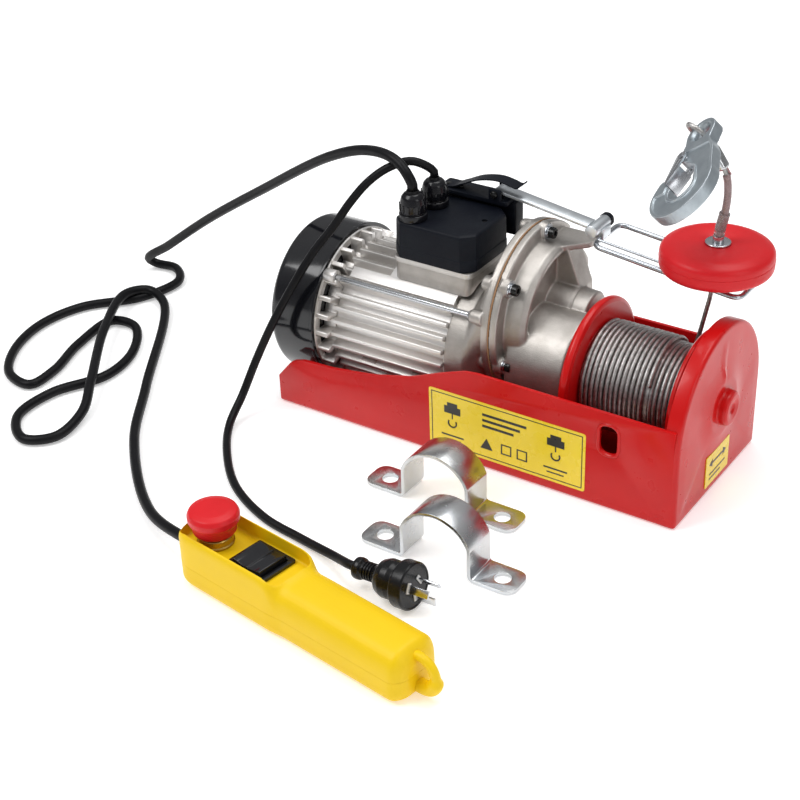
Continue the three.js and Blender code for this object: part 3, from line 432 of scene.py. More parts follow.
BLACK_GLOSS = surface("black_gloss", (0.004, 0.004, 0.006), 0.12, coat=0.25, second=(0.010, 0.011, 0.013),
                      mottle=30, grain=0.05, grain_size=3.0, rough_spread=0.04, ior=1.4)
BLACK_MATTE = surface("black_plastic", (0.004, 0.005, 0.009), 0.46, second=(0.007, 0.009, 0.013), mottle=40,
                      grain=0.25, grain_size=0.9, ior=1.21)
BLACK_RUBBER = surface("black_rubber", (0.004, 0.004, 0.005), 0.40, second=(0.007, 0.007, 0.008), mottle=50,
                       grain=0.15, grain_size=0.8, ior=1.24)
BLACK_OXIDE = surface("black_oxide", (0.012, 0.012, 0.012), 0.22, 0.4, mottle=80, grain=0.1, grain_size=0.5)
YELLOW = surface("yellow_plastic", (0.86, 0.575, 0.002), 0.46, second=(0.80, 0.53, 0.002), mottle=12,
                 grain=0.14, grain_size=0.9, rough_spread=0.05, ior=1.36)
RED_PLASTIC = surface("red_plastic", (0.66, 0.010, 0.016), 0.40, second=(0.58, 0.008, 0.012), mottle=18,
                      grain=0.16, grain_size=0.8, rough_spread=0.05, ior=1.36)
STICKER = surface("sticker_yellow", (0.88, 0.66, 0.02), 0.28, coat=0.2, second=(0.82, 0.60, 0.015), mottle=16)
PRINT = surface("sticker_print", (0.015, 0.013, 0.010), 0.3, mottle=60)
CLEAR_SLEEVE = surface("clear_sleeve", (0.86, 0.84, 0.83), 0.14, mottle=60, clear=0.85)
SHEATH_CLEAR = surface("clear_sheath", (0.62, 0.42, 0.42), 0.14, mottle=60, clear=0.8)
BLACK_RUBBER_GLOSS = surface("plug_black", (0.004, 0.004, 0.005), 0.26, second=(0.007, 0.007, 0.008),
                             mottle=50, grain=0.08, grain_size=1.2, rough_spread=0.05, ior=1.34)
GLAND_BLACK = surface("gland_black", (0.004, 0.004, 0.006), 0.20, second=(0.007, 0.007, 0.009), mottle=60,
                      grain=0.08, grain_size=0.8, rough_spread=0.05, ior=1.38)
SEAT_GREY = surface("pin_seats", (0.72, 0.72, 0.72), 0.5, mottle=90)


# ---- Camera and light ----
CAMERA = {"place": (0.62270, -1.06663, 0.77530), "azimuth": 34.77, "elevation": 31.37, "roll": -2.127,
          "lens": 74.23}


def make_camera():
    azimuth, elevation = math.radians(CAMERA["azimuth"]), math.radians(CAMERA["elevation"])
    flat = math.cos(elevation)
    back = Vector((math.sin(azimuth) * flat, -math.cos(azimuth) * flat, math.sin(elevation)))
    right = Vector((math.cos(azimuth), math.sin(azimuth), 0))
    basis = Matrix((right, back.cross(right), back)).transposed().to_4x4()
    camera = bpy.data.objects.new("camera", bpy.data.cameras.new("camera"))
    camera.data.lens, camera.data.sensor_width = CAMERA["lens"], 36.0
    camera.data.clip_start, camera.data.clip_end = 0.05, 60.0
    roll = Matrix.Rotation(math.radians(CAMERA["roll"]), 4, "Z")
    camera.matrix_world = Matrix.Translation(CAMERA["place"]) @ basis @ roll
    bpy.context.scene.collection.objects.link(camera)
    bpy.context.scene.camera = camera


def area_light(name, spot, aim, size, power):
    light = bpy.data.lights.new(name, "AREA")
    light.shape, light.size, light.size_y = "RECTANGLE", size[0], size[1]
    light.energy = power
    lamp = bpy.data.objects.new(name, light)
    lamp.location = spot
    lamp.rotation_euler = (Vector(aim) - Vector(spot)).to_track_quat("-Z", "Y").to_euler()
    bpy.context.scene.collection.objects.link(lamp)


def make_studio():
    world = bpy.data.worlds.new("studio")
    bpy.context.scene.world = world
    world.use_nodes = True
    nodes, links = world.node_tree.nodes, world.node_tree.links
    sky = set_inputs(nodes["Background"], Strength=0.60)
    split = nodes.new("ShaderNodeSeparateXYZ")
    ramp = nodes.new("ShaderNodeValToRGB")
    links.new(nodes.new("ShaderNodeTexCoord").outputs["Generated"], split.inputs["Vector"])
    links.new(split.outputs["Z"], ramp.inputs["Fac"])
    links.new(ramp.outputs["Color"], sky.inputs["Color"])
    low, high = ramp.color_ramp.elements
    low.position, low.color = 0.0, (0.62, 0.62, 0.63, 1)
    high.position, high.color = 0.9, (1, 1, 1, 1)
    ramp.color_ramp.elements.new(0.25).color = (0.36, 0.36, 0.37, 1)
    floor = made("floor", ([(-2e4, -2e4, 0), (2e4, -2e4, 0), (2e4, 2e4, 0), (-2e4, 2e4, 0)], [[0, 1, 2, 3]]))
    floor.location.z = -0.0006
    pale = surface("floor", (0.93, 0.93, 0.93), 0.6, second=(0.925, 0.925, 0.925), mottle=2)
    set_inputs(pale.node_tree.nodes["Principled BSDF"], Emission_Color=(1, 1, 1, 1), Emission_Strength=0.34)
    floor.data.materials.append(pale)
    area_light("key", (-0.9, -1.1, 1.9), (0, 0, 0.1), (1.1, 1.1), 24)
    area_light("top", (0.2, 0.5, 2.2), (0, 0, 0), (1.6, 1.2), 22)
    area_light("right", (1.9, -0.5, 1.0), (0.1, 0, 0.1), (0.8, 1.1), 7)
    bpy.context.scene.view_settings.view_transform = "Standard"


make_camera()
make_studio()

# ---- Cords ----
GLAND_TOP = 211.0
PENDANT_CORD_R, MAINS_CORD_R = 4.5, 3.7
PENDANT_CORD_ROUTE = [
    (-82, -22, GLAND_TOP + 0.3), (-82, -22, 215), (-85, -22, 221), (-95, -19, 229),
    (-110, -15, 233), (-139, -7, 229), (-186, 5, 209), (-293, 34, 141),
    (-374, 50, 87), (-440, 58, 38), (-474, 63, 13), (-470, 69, 6), (-446, 72, 5), (-424, 50, 4.8),
    (-434, 4, 4.6), (-472, -42, 4.6), (-482, -90, 4.6), (-468, -140, 4.6), (-438, -176, 4.6),
    (-408, -180, 4.6), (-407, -150, 4.6), (-422, -101, 4.6), (-426, -48, 4.6), (-400, -45, 4.6),
    (-366, -86, 4.6), (-358, -131, 4.6), (-380, -180, 4.6), (-378, -226, 4.6), (-346, -251, 4.6),
    (-324, -234, 5), (-328, -196, 8), (-352, -157, 13.9), (-411, -73, 14.2), (-440, -10, 13.9),
    (-430, 12, 10.5), (-404, 4, 7), (-312, -128, 5.2), (-259, -204, 5.5), (-172, -282, 9),
    (-104, -307, 18),
]
MAINS_CORD_ROUTE = [
    (-81, 10, GLAND_TOP + 0.3), (-81, 10, 215), (-86, 6, 221), (-97, -2, 226), (-112, -13, 221),
    (-126, -23, 209), (-138, -33, 192), (-150, -44, 170), (-163, -58, 148), (-175, -74, 120),
    (-188, -88, 88), (-202, -99, 51), (-209, -114, 20), (-205, -138, 6), (-180, -174, 4.2),
    (-140, -212, 3.8), (-92, -235, 3.8), (-50, -243, 4.2), (-12, -252, 8),
]
PLUG = {"face": (73.0, -265.0, 20.0), "yaw": -3.1, "pitch": -5.2, "length": 55.0}
PLUG_PLACE = (
    Matrix.Translation(PLUG["face"])
    @ Matrix.Rotation(math.radians(PLUG["yaw"]), 4, "Z")
    @ Matrix.Rotation(math.radians(PLUG["pitch"]), 4, "Y")
)


def line_length(line):
    return sum((b - a).length for a, b in zip(line, line[1:]))


def make_cords():
    line = smooth_line(PENDANT_CORD_ROUTE, 4.0)
    piece = made("pendant_lead", tube(line, PENDANT_CORD_R, 20))
    finished(piece, None, BLACK_RUBBER, "black_rubber", "pendant_cord", sharp=180)
    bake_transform(piece)
    behind = [PLUG_PLACE @ Vector((-PLUG["length"] - d, 0, 0)) for d in (6.0, 0.3)]
    line = smooth_line([*MAINS_CORD_ROUTE, *behind], 4.0)
    piece = made("mains_lead", tube(line, MAINS_CORD_R, 20))
    finished(piece, "hoist", BLACK_RUBBER, "black_rubber", "mains_cord", sharp=180)


# ---- Tray ----
low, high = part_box("frame_tray")
TRAY_X, TRAY_Y, SHEET = high.x / MM, high.y / MM, 3.0
ARCH_Z = high.z / MM - TRAY_Y  # centre of the round top of the end plate
RIM_DEPTH = 13.0
SIDE_LINE = [(-TRAY_X, 0, 0), (TRAY_X, 0, 0), (TRAY_X, 89.5, 0), (12, 89.5, 30), (0, 88, 20),
             (-23, 79.5, 20), (-53, 67, 40), (-92, 57, 60), (-136, 51, 60), (-166, 50, 30), (-179, 46, 14),
             (-TRAY_X, 27, 2)]
SLOT = {"x": 134.5, "z": 65.4, "w": 16.0, "h": 26.0}
BOSS_R = 22.0


def arch(inset):
    """Outline of the end plate from its bottom edge round the top, evenly spread."""
    half = TRAY_Y - inset
    corner = max(3.0 - inset, 0.5)
    points = [(half - corner, inset), *arc(half - corner, inset + corner, corner, -90, 0, 3)]
    points += [(half, inset + corner + (ARCH_Z - inset - corner) * k / 8) for k in range(1, 8)]
    points += arc(0, ARCH_Z, half, 0, 180, 48)
    points += [(-half, ARCH_Z - (ARCH_Z - inset - corner) * k / 8) for k in range(1, 8)]
    points += arc(-half + corner, inset + corner, corner, 180, 270, 3)
    points += [(-half + corner + 2 * (half - corner) * k / 24, inset) for k in range(1, 24)]
    return points


def plate_relief(y, z):
    """How far the thin end plate stands out where it was pressed and folded."""
    r = math.hypot(y, z - DRIVE_Z)
    swell = 2.6 * max(0.0, min(1.0, (44 - r) / 20)) ** 2
    ridge = 1.5 * math.exp(-((y + 2 - 0.03 * (z - 104)) / 2.0) ** 2)
    ridge *= max(0.0, min(1.0, (z - 99) / 6)) * max(0.0, min(1.0, (136 - z) / 10))
    folds = 0.0
    for side in (-1, 1):
        start, end = Vector((side * 24, 52)), Vector((side * 71, 6))
        along = (end - start).normalized()
        off = Vector((y, z)) - start
        reach = off.dot(along)
        across = off.dot(Vector((-along.y, along.x)))
        inside = max(0.0, min(1.0, reach / 14)) * max(0.0, min(1.0, ((end - start).length - reach) / 10))
        folds += 0.9 * inside * (1 / (1 + math.exp(-across * side / 1.1)) - 0.5)
    waves = 0.35 * noise.noise(Vector((y / 34, z / 30, 4.1)))
    return swell + ridge + folds + waves


def end_plate():
    outer = [(TRAY_X - RIM_DEPTH, 0.0), (TRAY_X - 3.2, 0.0), (TRAY_X - 1.6, 0.4), (TRAY_X - 0.5, 1.5),
             (TRAY_X, 3.2)]
    rings = [[(TRAY_X - 3.2, *p) for p in arch(SHEET + 0.6)], [(TRAY_X - RIM_DEPTH, *p) for p in arch(SHEET)]]
    rings += [[(x, *p) for p in arch(inset)] for x, inset in outer]
    edge = arch(4.5)
    hub = [Vector((y, z - DRIVE_Z)).normalized() * BOSS_R + Vector((0, DRIVE_Z)) for y, z in edge]
    steps = 26
    for k in range(steps + 1):
        share = k / steps
        ring = []
        for (y0, z0), end in zip(edge, hub):
            y, z = y0 + (end.x - y0) * share, z0 + (end.y - z0) * share
            calm = min(1.0, share * 6)
            ring.append((TRAY_X + plate_relief(y, z) * calm, y, z))
        rings.append(ring)
    return lofted(rings)


def slot_line(margin, steps):
    """Outline of the round-ended slot in a side wall."""
    w, h = SLOT["w"] / 2 + margin, SLOT["h"] / 2 + margin
    return rectangle(SLOT["x"] - w, SLOT["x"] + w, SLOT["z"] - h, SLOT["z"] + h, w - 0.01, steps)


def tray_shell():
    """The folded channel, cut to the line of its side walls."""
    top = 95.0
    y, inner = TRAY_Y, TRAY_Y - SHEET
    section = rounded([(-y, top, 0), (-y, 0, 4), (y, 0, 4), (y, top, 0), (inner, top, 0),
                       (inner, SHEET, 1.5), (-inner, SHEET, 1.5), (-inner, top, 0)], 0, 5, closed=True)
    shell = made("tray", prism(section, "yz", -TRAY_X, TRAY_X - 4))
    side = prism(rounded(SIDE_LINE, 0, 6, closed=True), "xz", -90, 90)
    boolean(shell, "INTERSECT", [side])
    return bevelled(cut(shell, prism(slot_line(0, 10), "xz", -90, 90)), 0.7, 2)


def slot_rims():
    """The edge of each slot is pressed slightly outwards."""
    return [tube([Vector((x, side * (TRAY_Y - 0.4), z)) for x, z in slot_line(1.2, 12)], 1.5, 10, loop=True)
            for side in (-1, 1)]


def make_tray():
    finished(fused(tray_shell(), end_plate()), "hoist", RED_PAINT, "red_paint", "frame_tray")
    shown("slot_rims", combined(*slot_rims()), "hoist", RED_PAINT, "red_paint")
    profile = [(0.1, 203.2), (3, 203.1), (5, 204.6), (9, 205.6), (12, 205.6), (14.2, 204.6), (15, 202.6),
               (15, 199), (15.6, 197.6), (18, 196.6), (22.5, 196.2), (24, 194), (0.1, 194)]
    boss = turned_x(rounded(profile, 1.0, 3), 72)
    shown("drum_end_boss", boss, "hoist", RED_PAINT, "red_paint", "end_boss")
    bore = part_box("drum_end_bush")
    bush = ring_x(10.3, 12, bore[0].x / MM, bore[1].x / MM)
    shown("drum_bush", bush, "hoist", BRASS, "brass", "drum_end_bush")


# ---- Stickers: generic marks and no lettering ----
def make_stickers():
    face = -TRAY_Y - 0.28
    x0, x1, z0, z1 = -34.0, 114.7, 9.5, 64.5

    def on_wall(outline, height=0.0):
        return prism(outline, "xz", face - 0.02 - height, face + 0.3)
    sticker = on_wall(rectangle(x0, x1, z0, z1, 2.5))
    shown("side_sticker", sticker, "hoist", STICKER, "yellow_plastic")
    marks = []

    def bar(a, b, c, d):
        marks.append(on_wall([(a, c), (b, c), (b, d), (a, d)], 0.12))

    def frame_line(a, b, c, d, w):
        bar(a, b, c, c + w)
        bar(a, b, d - w, d)
        bar(a, a + w, c + w, d - w)
        bar(b - w, b, c + w, d - w)
    frame_line(x0 + 2.5, x1 - 2.5, z0 + 2.5, z1 - 2.5, 0.8)
    for left in (x0 + 9, x1 - 41):
        hook = arc(left + 14, 35, 4, 150, 390, 10)
        marks.append(tube([Vector((x, face - 0.05, z)) for x, z in hook], 0.7, 8))
        bar(left + 13.4, left + 14.6, 39, 44)
        bar(left + 6, left + 22, 44, 51)
        bar(left + 9, left + 19, 51, 54.5)
        bar(left + 3, left + 25, 21.5, 23)
        bar(left + 6, left + 22, 17.5, 18.7)
    middle = (x0 + x1) / 2
    triangle = [(middle - 24, 20), (middle - 12, 20), (middle - 18, 30.5)]
    marks.append(on_wall(triangle, 0.12))
    for k in range(3):
        bar(middle - 22, middle + 20 - 6 * k, 52 - 5.5 * k, 54.4 - 5.5 * k)
    frame_line(middle - 4, middle + 6, 20, 30, 1.2)
    frame_line(middle + 11, middle + 21, 20, 30, 1.2)
    shown("side_sticker_marks", combined(*marks), "hoist", PRINT, "black_matte")
    end = TRAY_X + 0.35
    plate = prism(rectangle(-22, 22, 7.5, 37, 1.0, 3), "yz", TRAY_X - 0.4, end)
    shown("end_sticker", plate, "hoist", STICKER, "yellow_plastic")
    # A straight double-headed arrow over two rules.
    shapes = [
        [(-10, 26.4), (10, 26.4), (10, 28.2), (-10, 28.2)],
        [(-10, 23.6), (-10, 31), (-16, 27.3)],
        [(10, 31), (10, 23.6), (16, 27.3)],
        [(-15, 17), (15, 17), (15, 18.4), (-15, 18.4)],
        [(-15, 12.6), (6, 12.6), (6, 14), (-15, 14)],
    ]
    marks = [prism(shape, "yz", end - 0.1, end + 0.15) for shape in shapes]
    shown("end_sticker_marks", combined(*marks), "hoist", PRINT, "black_matte")


# ---- Motor ----
HOUSING = {"x0": -145.0, "x1": -32.0, "core": 54.0, "fin": 63.0, "fins": 32}


def make_housing():
    """The finned body: a pad under the terminal box, strips beside it, two feet and lugs low on the front."""
    x0, x1 = HOUSING["x0"], HOUSING["x1"]
    fins = toothed(HOUSING["fins"], (HOUSING["core"], 0.24), (HOUSING["fin"], 0.13))
    fins = prism(rounded(fins, 0.9, 3, closed=True), "yz", x0, x1)
    body = made("motor_fins", shifted(fins, z=DRIVE_Z))
    reach = math.degrees(0.91)
    pad = [(0, 0), *arc(0, 0, HOUSING["fin"], reach, 180 - reach, 30)]
    strips = [shifted(prism([(0, 0), *arc(0, 0, HOUSING["fin"], a, a + 8.6, 6)], "yz", x0 + 7, x1), z=DRIVE_Z)
              for a in (121, 50.4)]
    feet = [slab(x, x + 20, -38, 38, 3.3, 32) for x in (-132, -62)]
    fused(body, shifted(prism(pad, "yz", -101, x1), z=DRIVE_Z), *strips, *feet)
    step = TAU / HOUSING["fins"]
    for k, x in ((18, -118), (19, -96), (20, -74), (21, -98), (18, -66), (22, -80)):
        a = math.pi + (k - 16) * step * 0.98
        lug = slab(x, x + 15, -3.6, 3.6, -60.6, -50, 1.5)
        fused(body, shifted(turned(lug, math.degrees(a) + 90, "X"), z=DRIVE_Z))
    cut(body, rod_x(50, x0 - 1, x1 + 1))
    finished(bevelled(body, 0.5, 2, 40), "hoist", CAST, "cast_aluminium", "motor_housing")


BOLTS = {"circle": 69.6, "angles": (85, 142, 200, 257), "y": 23.0, "z": 106.0, "flat": 73.5}
TIE_ROD = (-47.0, 123.8)
IDLER = (28.925, 110.47)


def bolt_places():
    for degrees in BOLTS["angles"]:
        a = math.radians(degrees)
        yield BOLTS["y"] + BOLTS["circle"] * math.cos(a), BOLTS["z"] + BOLTS["circle"] * math.sin(a)


def behind_wall(x0, x1, z0=0.0):
    return slab(x0, x1, BOLTS["flat"], 200, z0, 260)


def flange(profile):
    return turned_x(profile, 128, BOLTS["y"], BOLTS["z"])


def make_bell():
    """The front bell: a neck on the motor that leans out into the gearbox flange."""
    rings = []
    for k in range(9):
        t = k / 8
        ease = t * t * (3 - 2 * t)
        r, y, z = 59 + 12.5 * ease, BOLTS["y"] * ease, DRIVE_Z + (BOLTS["z"] - DRIVE_Z) * ease
        rings.append([(-15 + 16.5 * t, y + c, z + s) for c, s in circle(r, 96)])
    skirt = lofted(rings)
    disc = flange([(0, 0.8), (75.2, 0.8), (76, 1.6), (76, 7.6), (75.5, 8), (0, 8)])
    lug = [(0, -7), (5, -7), (6.4, -5.5), (7.4, 2), (0, 2)]
    lugs = [turned_x(lug, 32, y, z) for y, z in bolt_places()]
    boss = turned_x([(0, -11), (4.5, -11), (6, -9), (7, 2), (0, 2)], 32, *TIE_ROD)
    body = made("bell", rod_x(59, -31.7, -13))
    fused(body, skirt, disc, *lugs, boss)
    cut(body, behind_wall(-40, 20), rod_x(50, -33, -11.7, 64),
        turned_x([(0, -12), (10, -12), (10, -8.3), (20.3, -8.3), (20.3, 9), (0, 9)], 48),
        rod_x(2.8, -12, 4, 24, *TIE_ROD))
    finished(cast(body, 0.9, 3), "hoist", CAST, "cast_aluminium", "motor_bell", sharp=180)


def make_shield():
    """The rear end shield: a rim of square teeth and a lip that the cowl slides over."""
    teeth = rounded(toothed(26, (55, 0.17), (68.4, 0.13)), 1.2, 3, closed=True)
    body = made("shield", shifted(prism(teeth, "yz", -157.7, -145.3), z=DRIVE_Z))
    ring = turned_x([(62.5, -164), (69.2, -164), (69.2, -158.4), (68.2, -157.4), (62.5, -157.4)], 96,
                    loop=True)
    boss = turned_x([(0, -158.5), (5.2, -158.5), (6.2, -157), (6.2, -147), (0, -147)], 32, *TIE_ROD)
    fused(body, ring, boss)
    cut(body, rod_x(10, -166, -144, 48), rod_x(20.3, -166, -147.7, 48), rod_x(2.8, -166, -140, 24, *TIE_ROD))
    finished(bevelled(body, 0.5, 2, 40), "hoist", CAST, "cast_aluminium", "rear_end_shield")


def make_cowl():
    """The fan cowl, a turned shell with two rings of air slots in its end."""
    outside = [(69.6, -158.6, 0), (72.6, -158.6, 0.5), (72.6, -161.5, 0.4), (72.1, -162, 0),
               (72.2, -203, 8), (62, -209.5, 14), (38, -212.6, 20), (0.1, -214, 0)]
    inside = [(0.1, -212.3, 0), (39.5, -210.7, 20), (60, -207.8, 12), (69.2, -201.5, 8), (69.6, -158.6, 0)]
    shell = made("cowl", turned_x(rounded(outside, 1, 6) + rounded(inside, 1, 5)[:-1], 128))
    slots = []
    for r0, r1, count in ((14, 27, 8), (32, 56, 16)):
        for k in range(count):
            slot = prism(rectangle(r0, r1, -2.1, 2.1, 2.0, 5), "yz", -220, -203)
            slots.append(shifted(turned(slot, 360 * k / count, "X"), z=DRIVE_Z))
    cut(shell, combined(*slots))
    finished(bevelled(shell, 0.35, 2, 50), "hoist", BLACK_GLOSS, "black_gloss", "fan_cowl", sharp=40)


def make_tie_rod():
    y, z = TIE_ROD
    rod = turned_x([(0, -162), (2, -162), (2.5, -161), (2.5, 3), (0, 3)], 24, y, z)
    hexes = []
    for x, thick in ((-160.5, 3.2), (-8, 4)):
        hexes.append(shifted(prism(circle(4.6, 6), "yz", x - thick, x), y=y, z=z))
    finished(bevelled(made("tie_stud", combined(rod, *hexes)), 0.25, 1), "hoist", ZINC, "zinc", "tie_rod")


def make_inside():
    """Pieces inside the motor and the gearbox: their CAD shapes are right, so they keep them."""
    looks = {
        "stator_core": MACHINED, "stator_winding_rear": COPPER, "stator_winding_front": COPPER,
        "motor_bearing_rear": MACHINED, "motor_bearing_front": MACHINED, "brake_coil": BLACK_MATTE,
        "rotor_core": MACHINED, "brake_disc": MACHINED, "cooling_fan": BLACK_MATTE, "motor_shaft": MACHINED,
        "idler_gear": MACHINED, "idler_pinion_shaft": MACHINED, "output_gear": MACHINED,
        "output_bearing": MACHINED, "drum_shaft": MACHINED, "run_capacitor": BLACK_MATTE,
        "estop_plunger": BLACK_MATTE,
    }
    for node, material in looks.items():
        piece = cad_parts[node]
        piece.data.materials.clear()
        piece.data.materials.append(material)
        bevel = piece.modifiers.new("edges", "BEVEL")
        bevel.width, bevel.segments, bevel.limit_method = 0.3 * MM, 1, "ANGLE"
        bevel.angle_limit = math.radians(50)


# ---- Gearbox ----
def make_cover():
    """The gearbox cover: bosses and recess are joined first and then melted into one casting."""
    disc = flange([(0, 9.6), (76, 9.6), (76, 15), (75, 16), (0, 16)])
    dome = [(0, 14), (64, 14), (63, 20), (61.4, 30, 4), (58, 34.4, 1.5), (54.6, 34.4, 1), (53, 31.5, 1),
            (52.4, 26.5, 1.5), (0, 26.5)]
    raised = made("cover", flange(rounded(dome, 0, 5)))
    cut(raised, behind_wall(0, 60))
    output = turned_x([(0, 20), (46, 20), (45.6, 30), (45, 40), (44.4, 71), (42.4, 73), (0, 73)], 128)
    idler = [(0, 20), (21, 20), (20.4, 48), (20.4, 49.4), (19.4, 49.9), (19.4, 50.7), (20, 51.2),
             (19.4, 64), (17.6, 65.6), (0, 65.6)]
    boss = turned_x(idler, 72, *IDLER)
    lugs = [turned_x([(0, 12), (8.6, 12), (7.4, 18.6), (0, 18.6)], 32, y, z) for y, z in bolt_places()]
    tongue = [(12, 5), (20, 5), (23, 13, 14), (38, 32, 20), (52, 46, 10), (50.5, 58, 8), (40, 61.5, 8),
              (12, 62)]
    ear = prism(rounded(tongue, 0, 6, closed=True), "xy", 161.5, 166.5)
    gusset = prism([(14, 118), (14, 164), (37, 164), (50, 128), (50, 118)], "xz", 30, 52)
    fused(raised, disc, output, boss, *lugs, ear, gusset)
    hollow = [
        rod_x(41, 8, 24, 96, *IDLER), rod_x(14, 8, 24, 48),
        rod_x(14, 23, 45, 48, *IDLER), rod_x(41, 29.5, 45),
        rod_x(5.6, 44, 52, 32, *IDLER),
        turned_x([(0, 44), (12, 44), (12, 59.7), (20.3, 59.7), (20.3, 74), (0, 74)], 64),
    ]
    cut(raised, behind_wall(8, 62), *hollow)
    finished(cast(raised, 0.8, 2), "hoist", CAST, "cast_aluminium", "gearbox_cover", sharp=180)
    paper = made("gasket", flange([(0, 8.3), (76.3, 8.3), (76.3, 9.3), (0, 9.3)]))
    cut(paper, behind_wall(0, 20), rod_x(41, 7, 11, 96, *IDLER), rod_x(24, 7, 11, 64))
    finished(paper, "hoist", GASKET, "gasket", "gearbox_gasket")


def make_bolts():
    """Hexagon socket screws with a spring washer and a flat washer."""
    for k, (y, z) in enumerate(bolt_places()):
        head = [(0, 20.6), (4.6, 20.6), (4.7, 25.1), (4.3, 25.5), (0, 25.5)]
        screw = made(f"screw_{k + 1}", turned_x(head, 48, y, z))
        cut(screw, shifted(prism(circle(2.5, 6), "yz", 22.8, 27), y=y, z=z))
        knurl = slab(21, 24.6, -0.28, 0.28, 4.35, 4.85)
        knurls = [shifted(turned(knurl, 360 * i / 28, "X"), y=y, z=z) for i in range(28)]
        grip = made(f"screw_grip_{k + 1}", combined(*knurls))
        node = f"cover_bolt_{k + 1}"
        finished(bevelled(screw, 0.25, 2, 40), "hoist", BLACK_OXIDE, "black_gloss", node)
        finished(grip, "hoist", BLACK_OXIDE, "black_gloss")
        rings = combined(ring_x(2.6, 7, 18.7, 19.6, 48, y, z), ring_x(2.6, 5, 19.6, 20.6, 48, y, z))
        finished(bevelled(made(f"washers_{k + 1}", rings), 0.15, 1), "hoist", ZINC, "zinc")


# ---- Drum and rope ----
LAYERS = {"top": 44.2, "low": 40.2, "from": 90.4, "step": 148.0, "to": 169.5, "pitch": 4.35}
ROPE_Y = 45.0


def make_drum():
    profile = [(10.3, 81), (46, 82), (50, 81.4, 2), (53, 79.6, 3), (58, 79, 3), (62.5, 80, 3), (64, 83, 3),
               (63.4, 86.5, 2), (60, 88, 2), (56, 87.8), (35, 87.8), (35, 172.2), (55, 172.2),
               (58.5, 173, 1.5), (60, 174.6, 1.5), (60, 176.8, 1.2), (57.5, 178, 1.5), (22, 178), (20, 182),
               (10.3, 182)]
    shown("drum", turned_x(rounded(profile, 0, 5), 128, loop=True), "drum", RED_PAINT, "red_paint",
             "rope_drum", sharp=50)


def helix(radius, x0, x1, pitch, start):
    """Turns of rope side by side, each a little out of true."""
    turns = abs(x1 - x0) / pitch
    steps = int(turns * 96)
    line = []
    for k in range(steps + 1):
        share = k / steps
        a = start + TAU * turns * share
        wobble = 0.35 * math.sin(a * 0.37 + 1.3) + 0.2 * math.sin(a * 1.13)
        r = radius + 0.3 * wobble
        line.append(Vector((x0 + (x1 - x0) * share + 0.5 * wobble, r * math.cos(a), r * math.sin(a))))
    return line


def make_wound_rope():
    core = turned_x([(35.2, 88.3), (42.4, 88.3), (42.4, 149), (38.4, 150), (38.4, 171.5), (35.2, 171.5)],
                    96, loop=True)
    shown("rope_layers", core, "drum", ROPE_STEEL, "rope_steel", "wound_rope")
    layers = (("top", LAYERS["from"], LAYERS["step"], 1.1), ("low", LAYERS["step"] + 0.6, LAYERS["to"], 0.6))
    for layer, x0, x1, start in layers:
        turns = rope(evenly(helix(LAYERS[layer], x0, x1, LAYERS["pitch"], start), 1.9), 2.05)
        shown(f"rope_{layer}_layer", shifted(turns, z=DRIVE_Z), "drum", ROPE_STEEL, "rope_steel", sharp=180)


def rope_line(*points, spacing):
    """A smooth line through (x, z) points in the plane of the free rope."""
    return smooth_line([(x, ROPE_Y, z) for x, z in points], spacing)


def make_free_rope():
    """The run from the drum up to the weight, baked in place and joined to no moving body."""
    low_end = [(148.2, 44.2, 78), (149.2, 44.8, 88), (150.6, ROPE_Y, 98)]
    rise = [(153.5, ROPE_Y, 112), (157, ROPE_Y, 130), (159.8, ROPE_Y, 145), (162.6, ROPE_Y, 170.5)]
    line = smooth_line([*low_end, *rise], 1.6)
    piece = made("rope_run", rope(line, 2.0))
    finished(piece, None, ROPE_STEEL, "rope_steel", "rope_tail", sharp=180)
    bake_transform(piece)
    line = rope_line((163.2, 195), (163.6, 201), (164.2, 206), (166.5, 218), (168, 236), (166.4, 250),
                     (162.5, 259), spacing=1.2)
    shown("hook_rope_strands", rope(line, 2.0, 16), "hook_block", ROPE_STEEL, "rope_steel", "hook_rope",
          sharp=180)
    shown("hook_rope_sheath", tube(line[8:-6], 3.1, 24), "hook_block", SHEATH_CLEAR, "rope_steel", sharp=180)
    collar = rope_line((163.4, 200.5), (164.2, 207), (166.0, 216), (166.8, 220), spacing=1.0)
    shown("clear_collar", tube(collar, 4.4, 32), "hook_block", CLEAR_SLEEVE, "rope_steel", sharp=180)


# ---- Weight under the hook ----
WEIGHT = {"place": (163.0, 45.0), "low": 169.5, "high": 193.5, "r": 46.0}


